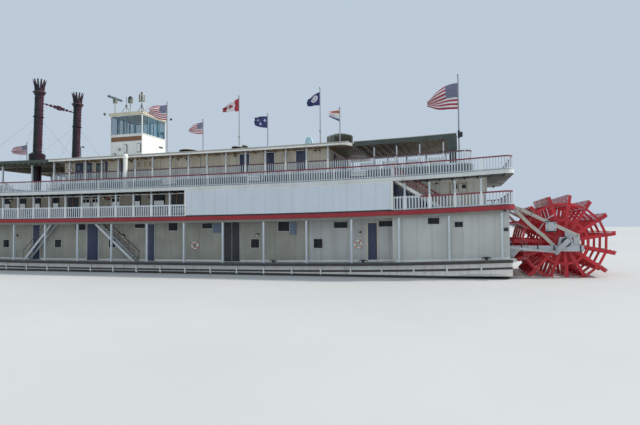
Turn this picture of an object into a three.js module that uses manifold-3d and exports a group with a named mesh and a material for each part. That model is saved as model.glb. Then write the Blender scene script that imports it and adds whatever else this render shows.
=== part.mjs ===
// A three-deck sternwheel paddle steamer as a 1:10 scale model.
// Every size below is in metres on the full-size ship; the last group scales it to model millimetres.
// X runs aft from the stern end of the decks, Y to starboard, Z up from the flat bottom.

import * as THREE from 'three';
import { mergeVertices } from 'three/addons/utils/BufferGeometryUtils.js';
import Module from 'manifold-3d';

const wasm = await Module();
wasm.setup();

// Driving dimensions
const MODEL_MM = 100; // model millimetres for each full-size metre, which is 1:10
const GAP = 0.004; // left between neighbouring pieces
const DRAFT = 1.83;
const BOW_X = -73.1;
const HALF_BEAM = 7;
const BAY = 1.973; // spacing of the gallery posts

const LEVEL = { // deck tops above the bottom of the hull, amidships
  main: DRAFT + 1.05,
  boiler: DRAFT + 5.25,
  hurricane: DRAFT + 8.0,
  texas: DRAFT + 8.9,
  roof: DRAFT + 11.47,
};
const THICK = { main: 0.25, boiler: 0.35, hurricane: 0.3, roof: 0.26 };
const DECK_JOINTS = { bow: -56, aft: -16 }; // where the hull and the main deck are plated together

const SHEER = { lowX: -38, sternRise: 0.54, sternPower: 3.6, bowRise: 1.25, bowPower: 3, knot: 4 };

const MAIN_HOUSE = { foreX: -53, stepX: -9.4, aftX: -0.45, half: 5.4, aftHalf: 6.4, wall: 0.12 };
const BOILER_HOUSE = { foreX: -52.5, aftX: -2, half: 5.4, wall: 0.1 };
const TEXAS_HOUSE = { foreX: -44.3, aftX: -15.4, half: 4.5, wall: 0.1 };
const BOILER_DECK = { foreX: -60, aftX: 0, half: HALF_BEAM, foreDeep: 4, corner: 0.9 };
const HURRICANE_DECK = { foreX: -59.5, aftX: 0, half: HALF_BEAM, foreDeep: 4, corner: 0.9 };
const TEXAS_DECK = { foreX: -46, aftX: -3, half: 5.5, foreDeep: 1, corner: 0.8 };
const TEXAS_ROOF = { foreX: -45.16, aftX: -13.2, half: 5.77, foreDeep: 0.02, corner: 1.2 };
const FORE_CANOPY = { foreX: -57.5, aftX: -45.2, half: 5.77, postY: 5.34 };
const AFT_CANOPY = { foreX: -13.1, aftX: -4.3, half: 4.43, postY: 4.3, top: DRAFT + 11.62, deep: 0.36 };
const PILOTHOUSE = {
  foreX: -40.49, aftX: -36.52, half: 2.14, wall: 0.09, floor: DRAFT + 13.1,
  sill: DRAFT + 14.4, head: DRAFT + 16.36, eave: DRAFT + 16.44, top: DRAFT + 16.71, overhang: 0.06,
  mullion: 0.08, bays: 4, door: { foreX: -37.52, aftX: -36.66, height: 2.05 },
};
const RADAR = { x: -40.35, y: -1.6, post: 0.06, box: 0.16, boxLow: 17.95, low: 18.42, top: 18.62, half: 1.05 };
const DOME = { x: -39.59, low: 18.35, shoulder: 18.75, top: 19.15, radius: 0.27, pole: 0.05 };
const MAST = { x: -39.21, y: -1.2, top: 18.7, hub: 17.71, foot: 0.9, thick: 0.035 };
const WHISTLES = { // steam whistles on a tripod, with heights above the water
  x: -38.12, hub: 17.91, foot: 1.05, thick: 0.04, bar: 18.42, centre: [0.11, 19.49],
  sides: [[-0.29, 0.07, 19.23], [0.34, 0.07, 19.11]], // distance, radius, top
};
const SALON_WINDOWS = [[-41.3, -40.35], [-40.0, -39.3], [-37.7, -36.8]];
const SALON_SILL = 1.05;
const SALON_HEAD = 2.0;
const SALON_DOOR = { foreX: -4.9, aftX: -3.54, height: 2.05 };
const ENGINE_DOOR = { foreX: -11.75, aftX: -10.98, height: 3.3 };
const DOOR = { thick: 0.05, slack: 0.02 };
const STAIR = { topX: -9.45, bottomX: -5.5, wellX: -7.4, inY: 5.72, outY: 6.6, thick: 0.06, steps: 12 };
const POST = {
  half: 0.075, edge: 6.85,
  beam: 0.2, mainFirst: -36.553, boilerFirst: -41.968, texasFirst: -29.063, texasY: 5.34,
};
const RAIL = { top: 1.1, half: 0.035, deep: 0.07 };
const SIGN = { foreX: -28.4, aftX: -9.45, low: 0.12, high: 2.4, inY: 6.93, outY: 6.99 };

const WHEEL = {
  x: 3.87, z: DRAFT + 2.82, radius: 3.82, half: 3.81, paddles: 15, phase: -8,
  bladeDeep: 0.92, bladeThick: 0.07, frames: 5, frameThick: 0.14, armWide: 0.24,
  rings: [3.12, 1.8], ringDeep: 0.17, hub: 0.78, shaft: 0.21,
};
const CRANK = { throw: 1.067, inY: 4.66, outY: 4.84, pin: 0.09, pinEnd: 5.2, wide: 0.36, port: 225, starboard: 315 };
const PITMAN = { inY: 4.9, outY: 5.12, length: 7.6, eye: 0.19, bore: 0.105, half: 0.09 };
const PITMAN_SLOT = 1.65; // top of its slot in the stern wall, above the wheel's axis
const TIMBER = { foreX: -9, aftX: 5.15, inY: 4.1, outY: 4.55, top: DRAFT + 2.55, aftLow: DRAFT + 2.1 };
const BRACES = { // lines in X and Z, with heights above the water
  thick: 0.12, upper: [[0.08, 5.66], [0.55, 5.52], [2.45, 4.52], [4.86, 3.29]],
  lower: [[0.1, 5.5], [0.49, 5.1], [1.26, 4.25], [2.31, 3.3], [3.05, 2.5]],
  end: [[3.79, 3.94], [4.9, 3.34], [4.95, 2.3], [4.45, 2.3], [4.45, 3.2], [3.87, 3.27]],
  plate: [2.45, 3.18, 3.74, 4.45], // foreX, aftX, low, high
};
const ENGINE = { foreX: -8.9, aftX: -5.4, outY: 5.2, top: DRAFT + 3.4 };
const BOILERS = { foreX: -52, aftX: -44, half: 3.4, top: DRAFT + 3.7 };
const CHIMNEY = {
  x: -49.6, y: 2.88, radius: 0.45, hole: 0.5, drum: 0.82, drumTop: DRAFT + 12.62, capTop: DRAFT + 12.85,
  ring: DRAFT + 16.84, collar: DRAFT + 19.26, saucer: DRAFT + 19.6, collarRadius: 0.67,
  spikes: 12, spreader: DRAFT + 18.5, rake: 0.034,
  spike: [[0.36, 19.5], [0.48, 19.5], [0.54, 20.3], [0.7, 21], [0.38, 20.3]], // radius and height above the water
  spikeWide: 0.16,
};
const RUDDER = { x: -0.6, ys: [-2.2, 2.2], fore: 1.75, aft: 1.45, low: 0.12, top: 1.72, half: 0.07, stock: 0.1 };
const DERRICK = { x: -61.2, y: 4.4, post: 0.16, height: 8.6, heel: 3.5, reach: 5.8, rise: 3, boom: 0.11 };
const STAGE = { length: 10.2, half: 0.75, deep: 0.26, clear: 2.3, ringUp: 1.55 };
const JACKSTAFF = { x: -71.6, height: 9, radius: 0.07 };
const CALLIOPE = { foreX: -16.1, aftX: -14.3, half: 0.45, table: 0.95, pipes: 12, tall: 0.85 };
const VENTS = [ // heights above the water
  { x: -32.3, y: 0, pipe: 0.35, cap: 0.92, capLow: 12.5, top: 12.82, dome: 0.2 },
  { x: -26.0, y: -1.2, pipe: 0.2, cap: 0.5, capLow: 12.35, top: 12.62, dome: 0.15 },
  { x: -25.65, y: 0, pipe: 0.15, cap: 0.32, capLow: 12.6, top: 12.89, dome: 0.15 },
  { x: -18.6, y: 0, pipe: 0.34, cap: 0.37, capLow: 12.5, top: 13.26, dome: 0.3 },
];
const FLAGS = [ // place of the pole, height of its top above the water, drop to the cloth, its width and depth
  { name: 'fore', x: -54.08, y: 0, top: 14.64, drop: 0.24, wide: 2.35, deep: 1.16 },
  { name: 'pilot', x: -33.28, y: -2.5, top: 17.3, drop: 0.2, wide: 2.25, deep: 1.62 },
  { name: 'port_1', x: -28.28, y: -4, top: 14.84, drop: 0.22, wide: 1.65, deep: 1.18 },
  { name: 'tall_1', x: -26.28, y: 0, top: 18.07, drop: 0.2, wide: 1.95, deep: 1.4 },
  { name: 'port_2', x: -21.48, y: -4, top: 14.93, drop: 0.21, wide: 1.35, deep: 1.1 },
  { name: 'tall_2', x: -17.44, y: 0, top: 18.16, drop: 0.38, wide: 1.35, deep: 1.38 },
  { name: 'port_3', x: -14.47, y: -4, top: 14.98, drop: 0.2, wide: 1.0, deep: 1.05 },
  { name: 'stern', x: -4.1, y: 0, top: 18.22, drop: 0.74, wide: 2.85, deep: 2.44 },
];
const FLAG = { pole: 0.045, thick: 0.03 };

const COLOUR = {
  white: 0xe9e7df, cream: 0xe4dfcd, red: 0x7c1f1c, wheel: 0xb5231d, grey: 0xb9c0c4, green: 0x1f3329,
  black: 0x1b1718, deck: 0x8f8f88, hull: 0xdedbd0, navy: 0x27324a, steel: 0x9a9da0,
  wood: 0x8a5a35, flag: 0xb9404a, iron: 0x3a3a3c,
};

// Shape helpers
function toSolid(geometry) {
  geometry.deleteAttribute('normal');
  geometry.deleteAttribute('uv');
  const closed = mergeVertices(geometry, 1e-4);
  return new wasm.Manifold(new wasm.Mesh({
    numProp: 3,
    vertProperties: new Float32Array(closed.attributes.position.array),
    triVerts: new Uint32Array(closed.index.array),
  }));
}

function joined(pieces) {
  return pieces.reduce((whole, piece) => whole.add(piece));
}

function smoothRise(x) {
  const aft = Math.max(0, (x - SHEER.lowX) / -SHEER.lowX);
  const fore = Math.max(0, (SHEER.lowX - x) / (SHEER.lowX - BOW_X));
  return SHEER.sternRise * aft ** SHEER.sternPower + SHEER.bowRise * fore ** SHEER.bowPower;
}

function sheer(x) {
  const knot = Math.floor(x / SHEER.knot) * SHEER.knot;
  const part = (x - knot) / SHEER.knot;
  return (1 - part) * smoothRise(knot) + part * smoothRise(knot + SHEER.knot);
}

function stationsBetween(x0, x1) {
  const stations = [x0];
  for (let x = Math.ceil(x0 / SHEER.knot) * SHEER.knot; x < x1 - 0.01; x += SHEER.knot) {
    if (x > x0 + 0.01) stations.push(x);
  }
  stations.push(x1);
  return stations;
}

// An outline in X and Z, extruded from y0 to y1
function sideExtrude(points, y0, y1) {
  const shape = new THREE.Shape(points.map(([x, z]) => new THREE.Vector2(x, z)));
  const geometry = new THREE.ExtrudeGeometry(shape, { depth: y1 - y0, bevelEnabled: false });
  return toSolid(geometry.rotateX(Math.PI / 2).translate(0, y1, 0));
}

// A piece whose lower and upper faces follow the sheer
function strake(x0, x1, y0, y1, low, high) {
  const stations = stationsBetween(x0, x1);
  const under = stations.map((x) => [x, low + sheer(x)]);
  const over = stations.map((x) => [x, high + sheer(x)]).reverse();
  return sideExtrude([...under, ...over], y0, y1);
}

function block(x0, x1, y0, y1, z0, z1) {
  return toSolid(new THREE.BoxGeometry(x1 - x0, y1 - y0, z1 - z0)
    .translate((x0 + x1) / 2, (y0 + y1) / 2, (z0 + z1) / 2));
}

function rod(from, to, radius, sides = 8, endRadius = radius) {
  const start = new THREE.Vector3(...from);
  const line = new THREE.Vector3(...to).sub(start);
  const geometry = new THREE.CylinderGeometry(endRadius, radius, line.length(), sides);
  geometry.translate(0, line.length() / 2, 0);
  geometry.applyQuaternion(new THREE.Quaternion().setFromUnitVectors(
    new THREE.Vector3(0, 1, 0), line.clone().normalize()));
  return toSolid(geometry.translate(start.x, start.y, start.z));
}

function planPrism(points, z0, z1) {
  const shape = new THREE.Shape(points.map(([x, y]) => new THREE.Vector2(x, y)));
  return toSolid(new THREE.ExtrudeGeometry(shape, { depth: z1 - z0, bevelEnabled: false }).translate(0, 0, z0));
}

// Plan of a deck: a rounded fore end of the given depth and rounded aft corners
function deckPlan({ foreX, aftX, half }, foreDeep, aftRadius, steps = 6) {
  const fore = [];
  const aft = [];
  for (let i = 0; i <= steps; i += 1) {
    const turn = (i / steps) * (Math.PI / 2);
    fore.push([foreX + foreDeep * (1 - Math.cos(turn)), half * Math.sin(turn)]);
    aft.push([aftX - aftRadius * (1 - Math.sin(turn)), half - aftRadius * (1 - Math.cos(turn))]);
  }
  const starboard = [...fore, ...aft];
  const port = starboard.slice(1).map(([x, y]) => [x, -y]).reverse();
  return [...starboard, ...port];
}

function deckPlate(plan, low, high) {
  const xs = plan.map(([x]) => x);
  const plate = strake(Math.min(...xs) - 0.1, Math.max(...xs) + 0.1, -HALF_BEAM - 1, HALF_BEAM + 1, low, high);
  return plate.intersect(planPrism(plan, 0, LEVEL.roof + 5));
}

// Half width of the main deck and hull, which closes to the stem over the bow
function bowHalf(x, half) {
  const part = Math.max(0, (-54 - x) / (-54 - BOW_X));
  return half * (1 - part ** 2);
}

function loft(rings) {
  const count = rings[0].length;
  const positions = rings.flat(2);
  const index = [];
  for (let r = 0; r < rings.length - 1; r += 1) {
    for (let i = 0; i < count; i += 1) {
      const a = r * count + i;
      const b = r * count + ((i + 1) % count);
      index.push(a, b, b + count, a, b + count, a + count);
    }
  }
  const last = (rings.length - 1) * count;
  for (let i = 1; i < count - 1; i += 1) {
    index.push(0, i + 1, i, last, last + i, last + i + 1);
  }
  const geometry = new THREE.BufferGeometry();
  geometry.setAttribute('position', new THREE.Float32BufferAttribute(positions, 3));
  geometry.setIndex(index);
  return toSolid(geometry);
}

// Places of posts at a fixed step, counted from one of them
function postsAlong(first, step, x0, x1) {
  const xs = [];
  const count = Math.ceil((first - x0) / step);
  for (let x = first - count * step; x < x1; x += step) {
    if (x > x0) xs.push(x);
  }
  return xs;
}

// Assembly
const ship = new THREE.Group();

function add(name, solid, colour, roughness = 0.6, metalness = 0) {
  const mesh = solid.getMesh();
  const geometry = new THREE.BufferGeometry();
  geometry.setAttribute('position', new THREE.Float32BufferAttribute(mesh.vertProperties, 3));
  geometry.setIndex(new THREE.BufferAttribute(new Uint32Array(mesh.triVerts), 1));
  const material = new THREE.MeshStandardMaterial({ color: COLOUR[colour], roughness, metalness });
  const node = new THREE.Mesh(geometry, material);
  node.name = name;
  ship.add(node);
}

const SIDES = [['port', -1], ['starboard', 1]];

// Y range of a piece at distance a to b from the centreline, on one side
function span(side, a, b) {
  return side < 0 ? [-b, -a] : [a, b];
}

function hullForm() {
  const top = LEVEL.main - THICK.main - GAP;
  const stemX = BOW_X + 0.35;
  const transomX = -0.3;
  const bottomAt = (x) => {
    if (x < -66) return 2.7 * ((-66 - x) / (-66 - stemX)) ** 1.5;
    if (x > -12) return x < -3.2 ? 1.9 * ((x + 12) / 8.8) : 1.9 + 0.1 * ((x + 3.2) / 2.9);
    return 0;
  };
  const stations = [...stationsBetween(stemX, transomX), -66, -3.2].sort((a, b) => a - b);
  const rings = stations.map((x) => {
    const wide = Math.max(0.12, bowHalf(x, HALF_BEAM) - 0.28);
    const low = bottomAt(x);
    const bilge = Math.min(0.6, 0.5 * (top - low));
    const flat = wide * (x < -54 ? 0.91 - 0.5 * ((-54 - x) / 19) : 0.91);
    const turn = flat + 0.72 * (wide - flat);
    const z = top + sheer(x);
    return [
      [x, -flat, low], [x, flat, low], [x, turn, low + 0.28 * bilge], [x, wide, low + bilge],
      [x, wide, z], [x, -wide, z], [x, -wide, low + bilge], [x, -turn, low + 0.28 * bilge],
    ];
  });
  return loft(rings);
}

function mainDeckForm() {
  const half = [];
  for (let i = 0; i <= 10; i += 1) {
    const x = BOW_X + (-54 - BOW_X) * (i / 10) ** 1.5;
    half.push([x, bowHalf(x, HALF_BEAM)]);
  }
  const aft = [[-0.5, HALF_BEAM], [0, HALF_BEAM - 0.5]];
  const starboard = [...half, ...aft];
  const port = starboard.slice(1).map(([x, y]) => [x, -y]).reverse();
  return deckPlate([...starboard, ...port], LEVEL.main - THICK.main, LEVEL.main);
}

// What lies between two places along the ship
function lengthOf(solid, x0, x1) {
  return solid.intersect(block(x0 + GAP / 2, x1 - GAP / 2, -HALF_BEAM - 1, HALF_BEAM + 1, -1, LEVEL.roof));
}

// The bow carries its own deck and the jackstaff; aft of it the main deck lies in two lengths on the hull
function makeHull() {
  const hull = hullForm();
  const deck = mainDeckForm();
  const { bow, aft } = DECK_JOINTS;
  const end = 1;
  const foredeck = lengthOf(deck, BOW_X - end, bow);
  const seat = foredeck.translate([0, 0, -2 * GAP]);
  const foot = LEVEL.main + sheer(JACKSTAFF.x) - 0.05;
  const staff = rod([JACKSTAFF.x, 0, foot], [JACKSTAFF.x, 0, foot + JACKSTAFF.height], JACKSTAFF.radius, 8, 0.03);
  add('hull_bow', joined([lengthOf(hull, BOW_X - end, bow), seat, foredeck, staff]), 'hull');
  add('hull', lengthOf(hull, bow, end), 'hull');
  add('main_deck', lengthOf(deck, bow, aft), 'deck');
  add('main_deck_aft', lengthOf(deck, aft, end), 'deck');
}

function chimneyHoles(low, high) {
  return joined(SIDES.map(([, side]) => rod(
    [CHIMNEY.x, side * CHIMNEY.y, low], [CHIMNEY.x, side * CHIMNEY.y, high], CHIMNEY.hole, 16)));
}

// Posts under the edge of the boiler deck, and the beam that runs over them round the fore end
function mainFrame() {
  const { half, edge, beam } = POST;
  const xs = postsAlong(POST.mainFirst, 2 * BAY, -57, -0.9);
  const top = LEVEL.boiler - THICK.boiler - GAP;
  const posts = SIDES.flatMap(([, side]) => xs.map((x) => strake(
    x - half, x + half, ...span(side, edge - half, edge + half), LEVEL.main + GAP, top - beam / 2)));
  const outer = edge + half;
  const inner = edge - half;
  const aftX = xs[xs.length - 1] + half;
  const plan = (wide, foreX, end) => deckPlan({ foreX, aftX: end, half: wide }, BOILER_DECK.foreDeep, 0.02);
  const inset = HALF_BEAM - outer;
  const ring = deckPlate(plan(outer, BOILER_DECK.foreX + inset, aftX), top - beam, top)
    .subtract(planPrism(plan(inner, BOILER_DECK.foreX + inset + 2 * half, 1), 0, LEVEL.roof));
  return joined([ring, ...posts]);
}

function makeDecks() {
  const holes = chimneyHoles(LEVEL.boiler - 2, LEVEL.roof + 2);
  const boiler = deckPlan(BOILER_DECK, BOILER_DECK.foreDeep, BOILER_DECK.corner);
  add('boiler_deck', deckPlate(boiler, LEVEL.boiler - THICK.boiler, LEVEL.boiler).subtract(holes), 'red');
  add('main_deck_posts', mainFrame(), 'white');
  const hurricane = deckPlan(HURRICANE_DECK, HURRICANE_DECK.foreDeep, HURRICANE_DECK.corner);
  const wells = joined(SIDES.map(([, side]) => strake(STAIR.topX - 0.1, STAIR.wellX,
    ...span(side, STAIR.inY - 0.06, STAIR.outY + 0.03), LEVEL.hurricane - 1, LEVEL.hurricane + 1)));
  add('hurricane_deck', deckPlate(hurricane, LEVEL.hurricane - THICK.hurricane, LEVEL.hurricane)
    .subtract(joined([holes, wells])), 'white');
  const texas = deckPlan(TEXAS_DECK, TEXAS_DECK.foreDeep, TEXAS_DECK.corner);
  add('texas_deck', deckPlate(texas, LEVEL.hurricane + GAP, LEVEL.texas), 'white');
  const roof = deckPlan(TEXAS_ROOF, TEXAS_ROOF.foreDeep, TEXAS_ROOF.corner);
  add('texas_roof', joined([
    deckPlate(roof, LEVEL.roof - THICK.roof, LEVEL.roof), makeCalliope(), ...makeVents()]), 'grey');
}

// A steam organ: a table on the roof with a row of pipes, long to short
function makeCalliope() {
  const { foreX, aftX, half, table, pipes, tall } = CALLIOPE;
  const top = LEVEL.roof + table;
  const pieces = [
    strake(foreX + 0.2, aftX - 0.2, -half + 0.1, half - 0.1, LEVEL.roof - 0.05, top),
    strake(foreX, aftX, -half, half, top - 0.08, top),
  ];
  for (let i = 0; i < pipes; i += 1) {
    const x = foreX + 0.12 + (i * (aftX - foreX - 0.24)) / (pipes - 1);
    pieces.push(rod([x, 0, top - 0.04], [x, 0, top + tall * (1 - (0.45 * i) / pipes)], 0.06, 6));
  }
  return joined(pieces);
}

// Ventilators on the roof: a pipe with a wider round cap or a dome
function makeVents() {
  return VENTS.flatMap(({ x, y, pipe, cap, capLow, top, dome }) => {
    const low = LEVEL.roof + sheer(x) - 0.05;
    const up = (z0, z1, r0, r1) => rod([x, y, z0], [x, y, z1], r0, 12, r1);
    return [up(low, DRAFT + capLow + 0.02, pipe, pipe), up(DRAFT + capLow, DRAFT + top - dome, cap, cap),
      up(DRAFT + top - dome - 0.01, DRAFT + top, cap, 0.45 * cap)];
  });
}

function makeForeCanopy() {
  const cover = deckPlate(deckPlan(FORE_CANOPY, 1.6, 0.02), LEVEL.roof - THICK.roof, LEVEL.roof)
    .subtract(chimneyHoles(LEVEL.hurricane, LEVEL.roof + 2));
  const posts = [];
  for (const [, side] of SIDES) {
    for (let x = -55.6; x < FORE_CANOPY.aftX; x += 2 * BAY) {
      const [y0, y1] = span(side, FORE_CANOPY.postY - POST.half, FORE_CANOPY.postY + POST.half);
      posts.push(strake(x - POST.half, x + POST.half, y0, y1, LEVEL.hurricane + GAP, LEVEL.roof - 0.1));
    }
  }
  add('fore_canopy', joined([cover, ...posts]), 'green');
}

// Walls. Each cabin has two halves that meet on the centreline.
function halfHouse({ foreX, aftX, half, wall }, side, low, high) {
  return joined([
    strake(foreX, aftX, ...span(side, half - wall, half), low, high),
    strake(foreX, foreX + wall, ...span(side, GAP / 2, half), low, high),
    strake(aftX - wall, aftX, ...span(side, GAP / 2, half), low, high),
  ]);
}

function doorway(x0, x1, wallY, side, low, height) {
  return strake(x0, x1, ...span(side, wallY - 0.4, wallY + 0.1), low - 0.2, low + height);
}

function makeMainHouse() {
  const low = LEVEL.main + GAP;
  const high = LEVEL.boiler - THICK.boiler - GAP;
  const { foreX, stepX, aftX, half, aftHalf, wall } = MAIN_HOUSE;
  for (const [name, side] of SIDES) {
    const front = strake(foreX, foreX + wall, ...span(side, GAP / 2, half), low, high);
    const fore = strake(foreX, stepX - wall - GAP, ...span(side, half - wall, half), low, high);
    const step = strake(stepX - wall, stepX, ...span(side, half - wall, aftHalf), low, high);
    const aft = strake(stepX - wall, aftX, ...span(side, aftHalf - wall, aftHalf), low, high);
    const gate = doorway(ENGINE_DOOR.foreX, ENGINE_DOOR.aftX, half, side, low, ENGINE_DOOR.height);
    const stern = strake(aftX - wall, aftX, ...span(side, GAP / 2, aftHalf), low, high);
    const slot = block(aftX - 0.5, aftX + 0.5, ...span(side, TIMBER.inY - 0.04, PITMAN.outY + 0.1),
      LEVEL.main, WHEEL.z + PITMAN_SLOT);
    add(`main_house_${name}`, joined([front, fore]).subtract(gate), 'cream');
    add(`engine_house_${name}`, joined([step, aft, stern]).subtract(slot), 'cream');
  }
}

function makeUpperHouses() {
  for (const [name, side] of SIDES) {
    const low = LEVEL.boiler + GAP;
    const high = LEVEL.hurricane - THICK.hurricane - GAP;
    const { foreX, aftX, height } = SALON_DOOR;
    const gate = doorway(foreX, aftX, BOILER_HOUSE.half, side, low, height);
    const windows = SALON_WINDOWS.map(([x0, x1]) => strake(
      x0, x1, ...span(side, BOILER_HOUSE.half - 0.4, BOILER_HOUSE.half + 0.1),
      LEVEL.boiler + SALON_SILL, LEVEL.boiler + SALON_HEAD));
    add(`boiler_house_${name}`,
      halfHouse(BOILER_HOUSE, side, low, high).subtract(joined([gate, ...windows])), 'cream');
    add(`texas_house_${name}`,
      halfHouse(TEXAS_HOUSE, side, LEVEL.texas + GAP, LEVEL.roof - THICK.roof - GAP), 'cream');
  }
}

// A flat door leaf just inside the outer face of a wall, with its lower edge level
function doorLeaf(x0, x1, wallY, side, low, height) {
  const slack = DOOR.slack;
  return block(x0 + slack, x1 - slack, ...span(side, wallY - DOOR.thick, wallY),
    low + Math.max(sheer(x0), sheer(x1)) + slack, low + Math.min(sheer(x0), sheer(x1)) + height - slack);
}

function makeDoors() {
  for (const [name, side] of SIDES) {
    const { foreX, aftX, height } = SALON_DOOR;
    const middle = (foreX + aftX) / 2;
    const low = LEVEL.boiler + GAP;
    add(`salon_door_fore_${name}`, doorLeaf(foreX, middle, BOILER_HOUSE.half, side, low, height), 'navy');
    add(`salon_door_aft_${name}`, doorLeaf(middle, aftX, BOILER_HOUSE.half, side, low, height), 'navy');
    add(`engine_room_door_${name}`, doorLeaf(ENGINE_DOOR.foreX, ENGINE_DOOR.aftX, MAIN_HOUSE.half, side,
      LEVEL.main + GAP, ENGINE_DOOR.height), 'navy');
  }
}

function makePilothouse() {
  const { foreX, aftX, half, wall, floor, sill, head, eave, top, overhang, mullion, bays, door } = PILOTHOUSE;
  const base = LEVEL.roof + sheer(foreX) + 2 * GAP;
  const shell = block(foreX, aftX, -half, half, base, eave - GAP);
  const room = (z0, z1) => block(foreX + wall, aftX - wall, -half + wall, half - wall, z0, z1);
  const cuts = [room(base - 1, floor - 0.12), room(floor, eave + 1)];
  const xWide = (aftX - foreX - (bays + 1) * mullion) / bays;
  const yWide = (2 * half - (bays + 1) * mullion) / bays;
  const lintel = floor + door.height + 0.1;
  for (let i = 0; i < bays; i += 1) {
    const x = foreX + mullion + i * (xWide + mullion);
    const y = -half + mullion + i * (yWide + mullion);
    cuts.push(block(x, x + xWide, -half - 1, 0, sill, head));
    cuts.push(block(x, x + xWide, 0, half + 1, i === bays - 1 ? lintel : sill, head));
    cuts.push(block(foreX - 1, aftX + 1, y, y + yWide, sill, head));
  }
  cuts.push(block(door.foreX, door.aftX, half - 1, half + 1, floor, floor + door.height));
  add('pilothouse', shell.subtract(joined(cuts)), 'white');
  const { slack, thick } = DOOR;
  const pane = block(door.foreX + 0.16, door.aftX - 0.16, half - 1, half + 1, sill, floor + door.height - 0.2);
  add('pilothouse_door', block(door.foreX + slack, door.aftX - slack, half - thick, half,
    floor + slack, floor + door.height - slack).subtract(pane), 'white');

  const roof = block(foreX - overhang, aftX + overhang, -half - overhang, half + overhang, eave, top);
  add('pilothouse_roof', joined([roof, ...makeRoofGear(top - 0.03)]), 'white');
  add('radar_scanner', block(RADAR.x - 0.1, RADAR.x + 0.1, RADAR.y - RADAR.half, RADAR.y + RADAR.half,
    DRAFT + RADAR.low, DRAFT + RADAR.top), 'white');
}

// Legs from a hub down to the pilothouse roof, two along the ship and one athwart
function tripod({ x, y = 0, hub, foot, thick }, low) {
  return [[foot, 0], [-foot, 0], [0, foot]].map(([dx, dy]) => rod(
    [x + dx, y + dy, low], [x, y, DRAFT + hub], thick, 5));
}

function makeRoofGear(low) {
  const up = (x, y, z0, z1, radius, endRadius = radius, sides = 8) => rod(
    [x, y, z0], [x, y, z1], radius, sides, endRadius);
  const above = (z) => DRAFT + z;
  const { x, hub, bar, centre, sides } = WHISTLES;
  const box = block(RADAR.x - RADAR.box, RADAR.x + RADAR.box, RADAR.y - RADAR.box, RADAR.y + RADAR.box,
    above(RADAR.boxLow), above(RADAR.low) - GAP);
  return [
    up(RADAR.x, RADAR.y, low, above(RADAR.boxLow) + 0.02, RADAR.post), box,
    up(DOME.x, 0, low, above(DOME.low) + 0.02, DOME.pole),
    up(DOME.x, 0, above(DOME.low), above(DOME.shoulder), DOME.radius, DOME.radius, 12),
    up(DOME.x, 0, above(DOME.shoulder) - 0.01, above(DOME.top), DOME.radius, 0.3 * DOME.radius, 12),
    up(MAST.x, MAST.y, low, above(MAST.top), MAST.thick), ...tripod(MAST, low),
    up(x, 0, low, above(bar) + 0.02, 0.05), up(x, 0, above(bar) - 0.05, above(centre[1]), centre[0]),
    ...sides.map(([dx, radius, top]) => up(x + dx, 0, above(bar) - 0.05, above(top), radius)),
    rod([x + sides[0][0], 0, above(bar)], [x + sides[1][0], 0, above(bar)], 0.05, 6),
    ...tripod({ ...WHISTLES, hub }, low),
  ];
}

// Posts and rails
function makeGalleries() {
  const { half, edge } = POST;
  for (const [name, side] of SIDES) {
    const [y0, y1] = span(side, edge - half, edge + half);
    const [r0, r1] = span(side, edge - RAIL.half, edge + RAIL.half);
    const boilerHigh = LEVEL.hurricane - THICK.hurricane - GAP;
    const boilerXs = postsAlong(POST.boilerFirst, BAY, -56, -0.9);
    const boiler = boilerXs.map((x) => strake(x - half, x + half, y0, y1, LEVEL.boiler + GAP, boilerHigh));
    const firstX = boilerXs[0];
    const lastX = boilerXs[boilerXs.length - 1];
    const topRail = strake(firstX, lastX, r0, r1, LEVEL.boiler + RAIL.top - RAIL.deep, LEVEL.boiler + RAIL.top);
    add(`boiler_deck_gallery_${name}`, joined([topRail, ...boiler]), 'white');

    const [t0, t1] = span(side, POST.texasY - half, POST.texasY + half);
    const texasXs = postsAlong(POST.texasFirst, BAY, -45.6, -15);
    const texasHigh = LEVEL.roof - THICK.roof - GAP;
    const texas = texasXs.map((x) => strake(x - half, x + half, t0, t1, LEVEL.texas + GAP, texasHigh));
    const [u0, u1] = span(side, POST.texasY - RAIL.half, POST.texasY + RAIL.half);
    const texasRail = strake(texasXs[0], TEXAS_DECK.aftX - 0.6, u0, u1,
      LEVEL.texas + RAIL.top - RAIL.deep, LEVEL.texas + RAIL.top);
    const stubs = postsAlong(POST.texasFirst, BAY, -15, TEXAS_DECK.aftX - 0.5).map((x) => strake(
      x - 0.04, x + 0.04, u0, u1, LEVEL.texas + GAP, LEVEL.texas + RAIL.top - 0.02));
    add(`texas_deck_gallery_${name}`, joined([texasRail, ...texas, ...stubs]), 'white');

    add(`sign_board_${name}`, strake(SIGN.foreX, SIGN.aftX, ...span(side, SIGN.inY, SIGN.outY),
      LEVEL.boiler + SIGN.low, LEVEL.boiler + SIGN.high), 'grey');
  }
}

// One rail all the way round the hurricane deck, with its posts along the sides
function makeHurricaneRail() {
  const { foreX, aftX, half, foreDeep, corner } = HURRICANE_DECK;
  const ring = (inset) => deckPlan(
    { foreX: foreX + inset, aftX: aftX - inset, half: half - inset }, foreDeep - inset, corner - inset);
  const inset = HALF_BEAM - POST.edge;
  const bar = deckPlate(ring(inset - RAIL.half), LEVEL.hurricane + RAIL.top - RAIL.deep, LEVEL.hurricane + RAIL.top)
    .subtract(planPrism(ring(inset + RAIL.half), 0, LEVEL.roof));
  const xs = postsAlong(POST.boilerFirst, 2 * BAY, foreX + foreDeep, -1);
  const posts = SIDES.flatMap(([, side]) => xs.map((x) => strake(
    x - 0.04, x + 0.04, ...span(side, POST.edge - RAIL.half, POST.edge + RAIL.half),
    LEVEL.hurricane + GAP, LEVEL.hurricane + RAIL.top - 0.02)));
  add('hurricane_deck_rail', joined([bar, ...posts]), 'white');
}

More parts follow.
